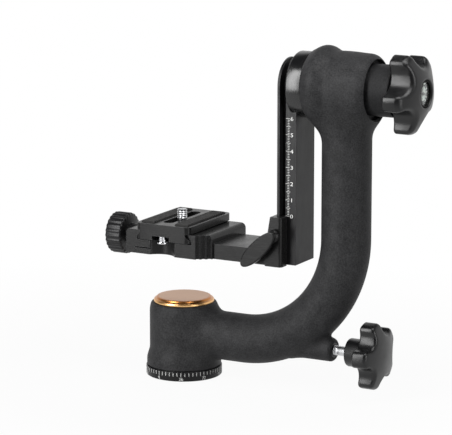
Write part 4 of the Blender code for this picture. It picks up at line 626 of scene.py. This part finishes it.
def lobed_knob(name, outline, rings, centre):
    """A knob built of rings from its bore to its front; each ring is (inset, circle, share, height).

    A ring lies between the outline, moved in by inset, and a circle: share 0 is the outline.
    The height may be a function of the distance from the axis.
    """
    count = len(outline)
    solid = bmesh.new()
    loops = []
    for inset, circle, share, height in rings:
        loop = []
        for i, (a, b) in enumerate(outline):
            (pa, pb), (na, nb) = outline[i - 1], outline[(i + 1) % count]
            ta, tb = na - pa, nb - pb
            size = hypot(ta, tb)
            ya, yb = a - inset * tb / size, b + inset * ta / size
            turn = atan2(b, a)
            ya = ya * (1 - share) + circle * cos(turn) * share
            yb = yb * (1 - share) + circle * sin(turn) * share
            high = height(hypot(ya, yb)) if callable(height) else height
            loop.append(solid.verts.new((high, ya + centre[1], yb + centre[2])))
        loops.append(loop)
    for loop, following in zip(loops, loops[1:]):
        for i in range(count):
            j = (i + 1) % count
            solid.faces.new((loop[i], loop[j], following[j], following[i]))
    solid.faces.new(loops[0])
    solid.faces.new(reversed(loops[-1]))
    return piece(name, solid)


def circles(*spots):
    """Round rings of a knob, each from its radius and its height."""
    return [(0, radius, 1, height) for radius, height in spots]


def rim_rings(back_edge, edge, low, high, steps=5):
    """Rings up the side of a knob, rounded at its back and at its front, whose height is high(radius)."""
    turns = [pi / 2 * i / steps for i in range(steps + 1)]
    back = [(back_edge - back_edge * sin(t), 0, 0, low + back_edge - back_edge * cos(t)) for t in turns]
    front = [(edge - edge * cos(t), 0, 0, lambda r, t=t: high(r) - edge + edge * sin(t)) for t in turns]
    return back + front


def knob_plastic():
    """Glass-filled nylon, moulded: near black, with an eroded grain of 0.2 mm drawn coarser to show."""
    made, place = start_material("glass_filled_nylon", "#0d0d0e", 0.33, level=0.36, ior=1.53)
    grain = noise(made, place, 2.4, 4.0, 0.6)
    rough = remap(made, noise(made, place, 0.15, 2.0), 0.3, 0.7, 0.28, 0.38)
    wear = calc(made, "MULTIPLY", calc(made, "MULTIPLY", worn_edges(made, 0.6, 0.85, 0.99), grain), 0.08)
    return lay(made, blend(made, wear, "#0d0d0e", "#6b6b6d"), rough, (grain, 0.3, 0.04))


plastic = knob_plastic()


def pan_face(radius):
    """Height of the small knob's front, a shallow ball face."""
    return PAN_FACE_MIDDLE - radius ** 2 / (2 * PAN_FACE_RADIUS)


pan_outline = lobed_outline(20.9, 14.0, 7.5, 3.0, -15)
pan_knob = lobed_knob("pan_knob_moulded", pan_outline, [
    *circles((3.3, 133.6), (3.3, PAN_HUB_LEFT), (7.7, PAN_HUB_LEFT), (8.4, PAN_HUB_LEFT + 0.3),
             (8.7, PAN_HUB_LEFT + 1.0), (8.7, PAN_GRIP_LEFT - 1.0), (9.0, PAN_GRIP_LEFT - 0.3),
             (9.7, PAN_GRIP_LEFT)),
    *rim_rings(1.2, 2.0, PAN_GRIP_LEFT, pan_face), *[(2.0, 8.0, i / 6, pan_face) for i in range(1, 7)],
    *circles(*[(radius, pan_face) for radius in (6.0, 4.0, 2.0, 0.5)]),
], lock_line)
fit(pan_knob, plastic, "pan_knob", "pan_lock_knob", slot="moulded_plastic")

STUD_PITCH = 1.0
stud_profile = [(0, 15.6), (2.7, 15.6), (3.0, 15.9), (3.0, 95.0)]
x = 95.0
while x < 108.0:
    stud_profile += [(3.0, x + STUD_PITCH * 0.15), (2.68, x + STUD_PITCH * 0.5), (3.0, x + STUD_PITCH * 0.85)]
    x += STUD_PITCH
stud_profile += [(2.9, 108.3), (2.9, 109.0), (3.0, 109.2), (3.0, 133.2), (0, 133.2)]
pan_stud = turned("pan_stud_rolled", stud_profile, "X", lock_line, 48)
fit(pan_stud, zinc_steel, "pan_knob", "pan_lock_rod", slot="steel")

# Tilt bearings
# Two ball bearings on the tilt shaft, with their spacer and slotted nut, inside the barrel.
for side in ("left", "right"):
    dress(zinc_steel, *[f"tilt_bearing_{side}_{name}" for name in ("outer_ring", "inner_ring", "balls")])
dress(zinc_steel, "tilt_spacer", "tilt_shaft_nut", "tilt_shaft")

# End collar
# The collar screwed into the barrel's right end, turned from aluminium and coated like the arm; its coat is
# drawn darker, as painted shade.
collar = turned("end_collar_turned", rounded([
    (4.3, 146.4), (15.7, 146.4, 0.7), (15.7, 129.2), (15.0, 129.2), (15.0, 125.1), (12.3, 125.1),
    (12.3, 128.5), (6.3, 128.5), (6.3, 134.55), (4.3, 134.55),
]), "X", tilt_line)
# The arm's powder coat in darker colours: painted shade where the collar lies in shadow.
fit(collar, powder_coat("powder_coat_painted_shade", "#0f0f10", "#262627"), "arm", "tilt_end_collar",
    slot="coated_casting")

# Tilt lock knob
# The larger five-lobed knob, moulded like the other, with a domed front round the compass's well.
TILT_GRIP_LEFT = 147.0
TILT_DOME_TOP = 164.8
DOME_RADIUS = 40.0
WELL_RIM = 9.4
WELL_RADIUS = 8.4
WELL_FLOOR = 158.4


def dome(radius):
    """Height of the knob's front at a distance from its axis: part of a ball of 40 mm radius."""
    return TILT_DOME_TOP + (WELL_RIM ** 2 - max(radius, WELL_RIM) ** 2) / (2 * DOME_RADIUS)


tilt_outline = lobed_outline(25.1, 15.5, 10.0, 3.0, -28)
tilt_knob = lobed_knob("tilt_knob_moulded", tilt_outline, [
    *circles((4.3, 156.1), (4.3, TILT_GRIP_LEFT), (10.0, TILT_GRIP_LEFT)),
    *rim_rings(1.4, 2.9, TILT_GRIP_LEFT, dome, 7), *[(2.9, WELL_RIM, i / 8, dome) for i in range(1, 9)],
    *circles((9.1, TILT_DOME_TOP), (8.65, TILT_DOME_TOP - 0.2), (WELL_RADIUS, TILT_DOME_TOP - 0.7),
             (WELL_RADIUS, WELL_FLOOR), (1.0, WELL_FLOOR)),
], tilt_line)
fit(tilt_knob, plastic, "tilt_knob", "tilt_lock_knob", slot="moulded_plastic")
dress(zinc_steel, "tilt_lock_stud")
dress(brass, "tilt_lock_pad")

# Compass
# A brass case blackened inside, a printed paper card that floats on a pin, and an acrylic window.
CARD_TOP = 161.1
CARD_RADIUS = 6.8


def printed_ink(name, code, level=0.5):
    """Screen-printed ink, or a thin black finish, with a slight tooth."""
    darker = [c * 0.7 for c in paint(code)[:3]] + [1.0]
    return mottled(name, code, 0.55, 5.0, 2.0, code, darker, level=level)


def clear_window():
    """Cast acrylic: clear, glossy, refracts at 1.49."""
    made, place = start_material("acrylic", "#f7fbfa", 0.03, level=0.08, ior=1.49)
    made.node_tree.nodes["Principled BSDF"].inputs["Transmission Weight"].default_value = 1.0
    return lay(made, rough=remap(made, noise(made, place, 0.5, 2.0), 0.0, 1.0, 0.01, 0.06))


case = turned("compass_case_turned", rounded([
    (0, 162.0), (0.4, 162.0), (0.4, 159.5), (7.3, 159.5), (7.3, 164.3), (8.1, 164.3, 0.2), (8.1, 158.7, 0.2),
    (0, 158.7),
]), "X", tilt_line, 64)
fit(case, printed_ink("blackened_brass", "#080807", 0.1), "tilt_knob", "compass_case", slot="brass")
card = turned("compass_card_cut", [(0.8, CARD_TOP), (CARD_RADIUS, CARD_TOP), (CARD_RADIUS, CARD_TOP - 0.5),
                                   (0.8, CARD_TOP - 0.5)], "X", tilt_line, 64)
card_stock = mottled("card_stock", "#e6ece4", 0.7, 3.0, 4.0, "#f4f8f2", "#d3dcd2")
fit(card, card_stock, "compass", "compass_card", slot="compass_card")
window = turned("compass_window_cast", rounded([
    (0, 163.3), (7.0, 163.3, 0.15), (7.0, 162.6, 0.15), (0, 162.6)]), "X", tilt_line, 64)
fit(window, clear_window(), "tilt_knob", "compass_window", slot="clear_plastic")


def on_card(x, y, z):
    """Puts a drawing with x across and y up on the card's face."""
    return CARD_TOP + z, x, TILT_Z + y


INK = (0.01, 0.06)
ROSE_TURN = 12
rose = bmesh.new()
for point in range(8):
    turn = radians(45 * point + ROSE_TURN)
    long = 5.0 if point % 2 == 0 else 3.9
    for side in (-1, 1):
        kite = ((1.2, turn), (2.9, turn + side * radians(22.5)), (long, turn))
        points = [on_card(r * sin(t), r * cos(t), z) for z in INK for r, t in kite]
        add_faces(rose, points, [(0, 2, 1), (3, 4, 5), (0, 1, 4, 3), (1, 2, 5, 4), (2, 0, 3, 5)])
for mark in range(16):
    turn = radians(22.5 * mark + ROSE_TURN)
    half = 0.5 if mark % 2 else 1.1

    def spoke(x, y, z, turn=turn):
        return on_card(x * cos(turn) + y * sin(turn), -x * sin(turn) + y * cos(turn), z)
    add_brick(rose, (-half, 5.2, INK[0]), (half, 6.7, INK[1]), spoke)
rose_ink = piece("compass_rose", rose)
fit(rose_ink, printed_ink("green_ink", "#04281c"), "compass")
pivot = turned("compass_pivot_cap", rounded([
    (0.5, 161.15), (1.15, 161.15, 0.1), (1.0, 161.7, 0.4), (0.5, 161.75)]), "X", tilt_line, 32)
fit(pivot, white_enamel, "compass")

# Tilt hub and swing rail
# The hub is a turned disc on the tilt shaft. The rail is an extruded dovetail bar with a round top,
# let into the hub and screwed to it; both are anodised a glossier black than the base.
HUB_RADIUS = 20.1
HUB_LEFT = 81.0
HUB_RIGHT = 91.3
RAIL_LEFT = 73.9
RAIL_FLANGE_RIGHT = 75.6
RAIL_BODY_LEFT = 77.8
RAIL_BODY_RIGHT = 84.9
RAIL_BOTTOM = 80.5
RAIL_EDGE = 0.35


def bar(name, outline, low, high, axis):
    """A straight bar of that outline between two places on an axis."""
    solid = bmesh.new()
    ends = [[solid.verts.new({"X": (h, a, b), "Y": (a, h, b), "Z": (a, b, h)}[axis]) for a, b in outline]
            for h in (low, high)]
    solid.faces.new(ends[0])
    solid.faces.new(reversed(ends[1]))
    for i in range(len(outline)):
        j = (i + 1) % len(outline)
        solid.faces.new((ends[0][i], ends[1][i], ends[1][j], ends[0][j]))
    return piece(name, solid)


def brick(name, low, high):
    """A box, used as a cutter."""
    solid = bmesh.new()
    add_brick(solid, low, high)
    return piece(name, solid)


def drill(radius, low, high, axis, centre, steps=32):
    """A round cutter between two places on an axis."""
    return turned("drill", [(0, low), (radius, low), (radius, high), (0, high)], axis, centre, steps)


def soften(made, width, angle=28, segments=2):
    """Rounds a piece's sharp edges, as the cutter's deburring leaves them."""
    made.data.shade_smooth()
    step = made.modifiers.new("deburred", "BEVEL")
    step.harden_normals = True
    step.width = width * MM
    step.segments = segments
    step.limit_method = "ANGLE"
    step.angle_limit = radians(angle)
    step.use_clamp_overlap = True
    step.miter_outer = "MITER_ARC"
    return settle(made)


def rail_layer(name, width, left, right):
    """One layer of the rail: a strip with a round top about the tilt line."""
    half = width / 2
    outline = [(-half, RAIL_BOTTOM), (half, RAIL_BOTTOM), *bow((0, TILT_Z), half, 0, 180, 48)]
    return bar(name, outline, left, right, "X")


black_rail = anodised("anodised_aluminium_extruded", "#151516", 0.34, 0.18, grain=(1, 1, 0.04))
black_hub = anodised("anodised_aluminium_polished", "#0c0c0d", 0.24, 0.6, 0, tilt_line)
rail = rail_layer("swing_rail_extruded", 20.0, RAIL_LEFT + 0.8, RAIL_BODY_RIGHT - 3.0)
carve(rail, rail_layer("flange", 32.0, RAIL_LEFT, RAIL_FLANGE_RIGHT),
      rail_layer("body", 24.6, RAIL_BODY_LEFT, RAIL_BODY_RIGHT), operation="UNION")
carve(rail, *[turned("sink", [
    (0, 60), (head, 60), (head, RAIL_LEFT), (shank, RAIL_LEFT + head - shank), (shank, 95), (0, 95),
], "X", (0, y, z), 48) for y, z, head, shank in (
    (-5.5, 178.0, 3.7, 2.1), (5.5, 178.0, 3.7, 2.1), (0, TILT_Z, 5.5, 3.3))])
soften(rail, RAIL_EDGE)
fit(rail, black_rail, "tilt", "swing_rail", slot="black_anodised")
hub = turned("tilt_hub_turned", rounded([
    (0, HUB_RIGHT), (HUB_RADIUS, HUB_RIGHT, 0.9), (HUB_RADIUS, HUB_LEFT, 0.9), (0, HUB_LEFT)]), "X", tilt_line)
carve(hub, rail_layer("seat", 25.2, HUB_LEFT - 4, 85.2), drill(8.3, 84, 95, "X", tilt_line, 64))
fit(hub, black_hub, "tilt", "tilt_hub", slot="black_anodised")

SCALE_FACE = -12.3
SCALE_ZERO = 110.8
SCALE_SPINE = 79.75
rail_scale = bmesh.new()


def on_rail(x, y, z):
    """Puts a drawing with x to the right and y up on the rail's front face."""
    return x, SCALE_FACE - z, y


for mark in range(61):
    left, right = (-1.8, 0.8) if mark % 10 == 0 else (-1.4, 1.3) if mark % 5 == 0 else (-0.55, 0.65)
    z = SCALE_ZERO + mark
    add_brick(rail_scale, (SCALE_SPINE + left, z - 0.12, -0.1),
              (SCALE_SPINE + right, z + 0.12, ENAMEL_STAND), on_rail)
    if mark % 10 == 0:
        add_faces(rail_scale, *numeral(
            str(mark // 10), 3.4, lambda px, py, pz: on_rail(px * 1.3 + 82.0, py + z - 1.2, pz)))
fit(piece("rail_scale", rail_scale), white_enamel, "tilt")


def countersunk(name, head, shank, left, tip, key, spot):
    """A countersunk screw with a hexagon socket, along X."""
    made = turned(name, rounded([(0, left), (head, left, 0.15), (shank, left + head - shank), (shank, tip, 0.4),
                                 (0, tip)]), "X", (0, *spot), 48)
    return carve(made, drill(key, left - 1, left + head - shank, "X", (0, *spot), 6))


fit(countersunk("hub_bolt_forged", 5.2, 3.0, 74.05, 99.4, 2.5, (0, TILT_Z)), zinc_steel, "tilt", "hub_bolt",
    slot="steel")
for side, y in (("front", -5.5), ("rear", 5.5)):
    fit(countersunk(f"rail_screw_{side}_forged", 3.4, 1.8, 74.05, 89.7, 1.6, (y, 178.0)), zinc_steel, "tilt",
        f"rail_screw_{side}", slot="steel")

# Height carriage
# A milled aluminium block that grips the rail's flange, with a well rounded front edge.
CARRIAGE_LEFT = 67.8
CARRIAGE_RIGHT = 79.0
PLATFORM_LOW = 80.0
CARRIAGE_HIGH = 110.8
CARRIAGE_HALF = 20.0
LEVER_X = 74.75
LEVER_Z = 99.8
SCREW_SPOTS = [(0, y, 84.75) for y in (-9, 9)]


def corner_cutter(x, y, radius, side, low, high):
    """A cutter that rounds one upright edge at x, y; side is -1 or 1 towards each."""
    edge = [(radius + 1, 0.0), *bow((0, 0), radius, 0, 90, 8), (0.0, radius + 1)]
    return bar("corner_cutter", [(side[0] * (x + 1), side[1] * (y + 1)), *[
        (side[0] * (x - radius + a), side[1] * (y - radius + b)) for a, b in edge]], low, high, "Z")


black_milled = anodised("anodised_aluminium_milled", "#191919", 0.27, 0.17, grain=(0.06, 1, 1))
carriage = bar("height_carriage_milled", [
    (CARRIAGE_LEFT, PLATFORM_LOW), (CARRIAGE_RIGHT, PLATFORM_LOW), (CARRIAGE_RIGHT, CARRIAGE_HIGH),
    (71.3, CARRIAGE_HIGH), (CARRIAGE_LEFT, 89.5)], -CARRIAGE_HALF, CARRIAGE_HALF, "Y")
lip = [corner_cutter(CARRIAGE_RIGHT, CARRIAGE_HALF, 2.0, (1, side), 70, 120) for side in (-1, 1)]
gib_slot = brick("gib_slot", (73.75, -18.6, 91.5), (75.75, -16.0, 108.1))
carve(carriage, brick("flange_way", (73.6, -16.3, 70), (75.9, 16.3, 120)),
      brick("waist_way", (75, -10.3, 70), (77.8, 10.3, 120)),
      brick("body_way", (77.5, -12.6, 70), (90, 12.6, 120)), gib_slot, *lip,
      drill(2.7, -25, -15, "Y", (LEVER_X, 0, LEVER_Z)),
      *[turned("screw_way", [(0, 60), (2.8, 60), (2.8, 70), (4.6, 70), (4.6, 74), (0, 74)], "X", spot, 32)
        for spot in SCREW_SPOTS])
soften(carriage, 0.3)
fit(carriage, black_milled, "carriage", "height_carriage", slot="black_anodised")
dress(zinc_steel, "platform_screw_1", "platform_screw_2")
dress(brass, "height_gib")

# Height lock lever
# A flat oval paddle on a steel screw, turned by the thumb: milled aluminium, anodised like the carriage.
LEVER_BACK = -20.6
LEVER_NECK = -24.2
LEVER_FACE = -27.6
LEVER_TURN = 225


def lever_point(along, across):
    """Puts a drawing along the lever on its plane."""
    turn = radians(LEVER_TURN)
    return (LEVER_X + along * cos(turn) - across * sin(turn),
            LEVER_Z + along * sin(turn) + across * cos(turn))


leaf = [lever_point(15.7 * (1 + cos(radians(t))) - 3.7, 5.3 * sin(radians(t)))
        for t in range(0, 360, 6)]
paddle = bar("lever_paddle_cast", leaf, LEVER_NECK, LEVER_FACE, "Y")
soften(paddle, 0.9, 40, 4)
boss = turned("lever_boss", rounded([(0, LEVER_BACK), (3.3, LEVER_BACK), (3.3, -21.4, 0.2), (3.9, -21.6, 0.2),
                                     (3.9, -23.2, 0.6), (2.6, LEVER_NECK - 0.5), (0, LEVER_NECK - 0.5)]), "Y",
              (LEVER_X, 0, LEVER_Z), 48)
carve(paddle, boss, operation="UNION")
carve(paddle, drill(2.7, -20, LEVER_NECK - 0.3, "Y", (LEVER_X, 0, LEVER_Z)))
fit(paddle, black_milled, "height_lever", "height_lock_paddle", slot="black_anodised")
dress(zinc_steel, "height_lock_screw")

# Camera platform
# One milled bar with the clamp's base and fixed jaw: a scoop in front for the stop screw,
# and a cut corner with three flutes. It is deburred and anodised.
PLATFORM_HIGH = 89.5
SEAT = 88.9
JAW_TOP = 95.0
CLAMP_HALF = 25.0
CLAMP_REAR = 30.6
PIN_SPOTS = [(0, y, 86.85) for y in (-17, 17)]
JAW_LINE = (0, 0, 86.0)

platform = bar("camera_platform_milled", [
    (67.5, -17.3), (67.5, 17.3), (CLAMP_REAR, 17.3), (CLAMP_REAR, CLAMP_HALF), (-9.7, CLAMP_HALF),
    (-9.7, -CLAMP_HALF), (CLAMP_REAR, -CLAMP_HALF), (CLAMP_REAR, -17.3)], PLATFORM_LOW, PLATFORM_HIGH, "Z")
fixed_jaw = bar("fixed_jaw", [
    (19.3, 88.5), (CLAMP_REAR, 88.5), *bow((CLAMP_REAR - 3.2, JAW_TOP - 3.2), 3.2, 0, 90, 8),
    (16.3, JAW_TOP), (16.3, 93.85), (19.3, 90.85)], -CLAMP_HALF, CLAMP_HALF, "Y")
tongue = brick("tongue", (-20.5, -CLAMP_HALF, PLATFORM_LOW), (-8.7, CLAMP_HALF, 83.6))
carve(platform, fixed_jaw, tongue, operation="UNION")
SCOOP_HALF = 8.75
SCOOP_DEPTH = 4.5
scoop_radius = (SCOOP_HALF ** 2 + SCOOP_DEPTH ** 2) / (2 * SCOOP_DEPTH)
scoop = drill(scoop_radius, 120, 70, "Z", (-1.2, -CLAMP_HALF - scoop_radius + SCOOP_DEPTH, 0), 160)
corner = bar("corner", [(31.6, -26.0), (31.6, -18.1), (20.4, -26.0)], 70, 100, "Z")
flutes = [drill(1.2, 100, 70, "Z", (CLAMP_REAR - 8.8 * (1 - s), -CLAMP_HALF + 6.2 * s, 0))
          for s in (1 / 6, 1 / 2, 5 / 6)]
tongue_slot = brick("tongue_slot", (-27, -8.6, 70), (-9.7, 8.6, 85.2))
seat = brick("plate_seat", (-10.7, -27, SEAT), (19.3, 27, 90.7))
holes = [*[drill(2.8, 50, 70, "X", spot) for spot in SCREW_SPOTS],
         *[drill(2.1, -12, 3.6, "X", spot) for spot in PIN_SPOTS], drill(2.8, -12, 19.6, "X", JAW_LINE)]
carve(platform, tongue_slot, seat, corner, scoop, *holes, *flutes)
soften(platform, 0.3)
fit(platform, black_milled, "carriage", "camera_platform", slot="black_anodised")
dress(zinc_steel, "jaw_guide_pin_1", "jaw_guide_pin_2")

# Moving jaw and its knob
# The milled jaw slides on two pins. Its screw has a knurled aluminium knob on the left.
JAW_OUTER = -27.0
JAW_KNOB_LEFT = -50.2
JAW_KNOB_RIGHT = -38.7
KNURLS = 24

jaw = bar("moving_jaw_milled", [
    (JAW_OUTER, PLATFORM_LOW), (-20.8, PLATFORM_LOW), (-20.8, 84.2), (-10.0, 84.2), (-10.0, SEAT),
    (-19.3, SEAT), (-19.3, 90.85), (-16.3, 93.85), (-16.3, JAW_TOP),
    *bow((JAW_OUTER + 2.4, JAW_TOP - 2.4), 2.4, 90, 180, 8)], -CLAMP_HALF, CLAMP_HALF, "Y")
carve(jaw, brick("jaw_key", (-26.0, -8.3, 80.3), (-10.3, 8.3, 88.5)), operation="UNION")
carve(jaw, *[drill(2.1, -24, -5, "X", spot) for spot in PIN_SPOTS], drill(2.8, -30, -5, "X", JAW_LINE))
soften(jaw, 0.35)
fit(jaw, black_milled, "jaw", "moving_jaw", slot="black_anodised")
ribs = []
for i in range(KNURLS * 8):
    wave = cos(tau * i / 8)
    radius = 12.8 + 0.2 * max(-1.0, min(1.0, wave * 1.5))
    turn = tau * i / (KNURLS * 8)
    ribs.append((radius * cos(turn), radius * sin(turn)))
jaw_knob = lobed_knob("clamp_knob_knurled", ribs, [
    *circles((4.0, JAW_KNOB_LEFT + 0.8), (8.6, JAW_KNOB_LEFT + 0.8), (9.2, JAW_KNOB_LEFT)),
    (1.2, 0, 0, JAW_KNOB_LEFT), (0.5, 0, 0, JAW_KNOB_LEFT + 0.3), (0.1, 0, 0, JAW_KNOB_LEFT + 0.9),
    (0, 0, 0, JAW_KNOB_LEFT + 1.4), (0, 0, 0, JAW_KNOB_RIGHT - 1.4), (0.1, 0, 0, JAW_KNOB_RIGHT - 0.9),
    (0.5, 0, 0, JAW_KNOB_RIGHT - 0.3), (1.2, 0, 0, JAW_KNOB_RIGHT),
    *circles((7.4, JAW_KNOB_RIGHT), (6.7, JAW_KNOB_RIGHT + 0.2), (6.5, JAW_KNOB_RIGHT + 0.8), (6.5, -28.0),
             (6.2, -27.3), (2.8, -27.3), (2.8, -39.0), (0.8, -39.0)),
], JAW_LINE)
black_knurled = anodised("anodised_knurled", "#151516", 0.36, 0.25, 0, JAW_LINE)
fit(jaw_knob, black_knurled, "jaw_knob", "clamp_knob", slot="black_anodised")
dress(zinc_steel, "clamp_screw")

# Quick plate
# The plate screwed under the camera: an extruded dovetail with rounded corners, a channel and slot
# for its screw, rubber strips on top and a bright stop screw at the front.
PLATE_LOW = 89.8
PLATE_HIGH = 100.0
PLATE_HALF = 19.0
PLATE_FRONT = -27.5
CHANNEL_X = -1.1

half_section = [(PLATE_HALF, PLATE_LOW), (PLATE_HALF, 91.0), (16.0, 94.0), (16.0, 95.5), (PLATE_HALF, 95.5),
                (PLATE_HALF, PLATE_HIGH)]
plate = bar("quick_plate_extruded", half_section + [(-x, z) for x, z in reversed(half_section)],
            PLATE_FRONT, -PLATE_FRONT, "Y")
clips = [corner_cutter(PLATE_HALF, -PLATE_FRONT, 3.6, (sx, sy), 80, 110) for sx in (-1, 1) for sy in (-1, 1)]
slot_outline = bow((CHANNEL_X, 16.5), 3.5, 0, 180, 16) + bow((CHANNEL_X, -16.5), 3.5, 180, 360, 16)
carve(plate, *clips, brick("channel", (CHANNEL_X - 6, -30, 80), (CHANNEL_X + 6, 30, 92.5)),
      bar("slot", slot_outline, 80, 110, "Z"),
      *[brick("recess", (left, -24.3, 99.1), (left + 9.8, 24.3, 110)) for left in (6.9, -16.7)],
      drill(2.75, 80, 96.8, "Z", (CHANNEL_X, -24.5, 0)))
soften(plate, 0.3)
fit(plate, black_milled, "plate", "quick_plate", slot="black_anodised")
# The rubber is dead black and matt, with a faint bloom.
rubber_black = mottled("moulded_rubber", "#1f1f1f", 0.8, 1.8, 5.0, "#1b1b1b", "#2c2b2a", (0.4, 0.1))
for side, sign in (("left", -1), ("right", 1)):
    edges = sorted((sign * 7.2, sign * 16.4))
    solid = bmesh.new()
    add_brick(solid, (edges[0], -24, 99.4), (edges[1], 24, 100.6))
    for i in range(16):
        y = -24 + 3 * i
        add_brick(solid, (edges[0] + 0.4, y + 0.5, 100.4), (edges[1] - 0.4, y + 2.5, 101.0))
    strip = piece(f"plate_pad_{side}_ribbed", solid)
    fit(strip, rubber_black, "plate", f"plate_pad_{side}", slot="rubber")
stop = turned("stop_screw_turned", rounded([
    (0, 96.5), (2.45, 96.5), (2.45, 89.0), (3.7, 89.0, 0.2), (3.7, 87.9, 0.3), (0, 87.9)]), "Z",
    (CHANNEL_X, -24.5, 0), 48)
chrome = bare_metal("chromed_steel", "#dcdde0", 0.14)
fit(stop, chrome, "plate", "plate_stop_screw", slot="steel")
screw_profile = [(0, 105.4), (2.6, 105.4)]
z = 105.0
while z > 100.5:
    screw_profile += [(3.17, z), (2.7, z - 0.635)]
    z -= 1.27
screw_profile += [(3.17, 100.0), (3.17, 91.4), (5.2, 91.4), (5.2, 90.1), (0, 90.1)]
camera_screw = turned("camera_screw_turned", screw_profile, "Z", (CHANNEL_X, 0, 0), 48)
carve(camera_screw, brick("coin_slot", (-8, -0.6, 88), (6, 0.6, 90.8)))
fit(camera_screw, zinc_steel, "camera_screw", "camera_screw", slot="steel")
dress(nylon_white, "camera_screw_washer")

# Floor
# The head stands on a plain white table in front of a white wall; only its shadow shows.
FLOOR_HALF = 420.0
solid = bmesh.new()
bmesh.ops.create_grid(solid, x_segments=1, y_segments=1, size=FLOOR_HALF)
floor = piece("floor", solid)
floor.location.z = -0.0002
paper, place = start_material("white_paper", "#b4b4b4", 0.9)


def seen_rays(owner):
    """1 for the rays from the camera, straight, off something glossy or through something clear."""
    rays = add(owner, "LightPath").outputs
    seen = calc(owner, "MAXIMUM", rays["Is Camera Ray"], rays["Is Glossy Ray"])
    return calc(owner, "MAXIMUM", seen, rays["Is Transmission Ray"])


glow = add(paper, "Emission", {"Color": paint("#ffffff"), "Strength": 1.0}).outputs[0]
away = vector(paper, "LENGTH", place)["Value"]
share = calc(paper, "MULTIPLY", seen_rays(paper), remap(paper, away, 120.0, 350.0, 0.945, 1.0))
plain = paper.node_tree.nodes["Principled BSDF"].outputs[0]
mixed = add(paper, "MixShader", {0: share, 1: plain, 2: glow}).outputs[0]
paper.node_tree.links.new(mixed, paper.node_tree.nodes["Material Output"].inputs["Surface"])
floor.data.materials.append(paper)

# Light
# A tall soft box to the left of the camera, a weaker one to the right, a small one over the barrel and
# one for the back. The wall behind the head is white up to 40 degrees; behind the camera it is dark.
world = bpy.data.worlds.new("studio")
bpy.context.scene.world = world
world.use_nodes = True
toward = add(world, "SeparateXYZ", {0: add(world, "TexCoord").outputs["Generated"]}).outputs
high = remap(world, toward[2], 0.5, 0.75, 1.0, 0.0)
behind = remap(world, toward[1], -0.2, 0.3)
wall = remap(world, calc(world, "MULTIPLY", high, behind), 0.0, 1.0, 0.06, 1.0)
wall = calc(world, "MAXIMUM", wall, add(world, "LightPath").outputs["Is Camera Ray"])
level = add(world, "Mix", {0: seen_rays(world), 2: 0.08, 3: wall}, data_type="FLOAT").outputs[0]
back = world.node_tree.nodes["Background"]
back.inputs["Color"].default_value = paint("#ffffff")
world.node_tree.links.new(level, back.inputs["Strength"])


def softbox(name, place, target, size, power):
    """An area lamp that faces a point."""
    lamp = bpy.data.lights.new(name, "AREA")
    lamp.shape = "RECTANGLE"
    lamp.size, lamp.size_y = size
    lamp.energy = power
    made = new_object(name, lamp)
    made.location = Vector(place) * MM
    made.rotation_euler = (Vector(target) - Vector(place)).to_track_quat("-Z", "Y").to_euler()
    return made


MIDDLE = (60, 0, 140)
softbox("key", (-420, -930, 520), MIDDLE, (0.45, 1.35), 20)
softbox("fill", (1000, -340, 160), MIDDLE, (0.25, 0.8), 4)
softbox("top", (230, -60, 500), (110, 0, 190), (0.24, 0.24), 1.2)
softbox("back", (-300, 1000, 420), (60, 0, 120), (0.9, 0.9), 8).visible_glossy = False

# Camera
# It stands to the right of the head's front and a little above it, with a long lens.
TARGET = Vector((30.07, 0, 102.84))
AZIMUTH, ELEVATION, DISTANCE = radians(28.61), radians(11.63), 1679.8
offset = Vector((sin(AZIMUTH) * cos(ELEVATION), -cos(AZIMUTH) * cos(ELEVATION), sin(ELEVATION)))
lens = bpy.data.cameras.new("camera")
lens.sensor_width = 36.0
lens.lens = 215.87
lens.clip_end = 20.0
camera = new_object("camera", lens)
camera.location = (TARGET + offset * DISTANCE) * MM
camera.rotation_euler = (-offset).to_track_quat("-Z", "Y").to_euler()
bpy.context.scene.camera = camera
bpy.context.scene.view_settings.view_transform = "Standard"
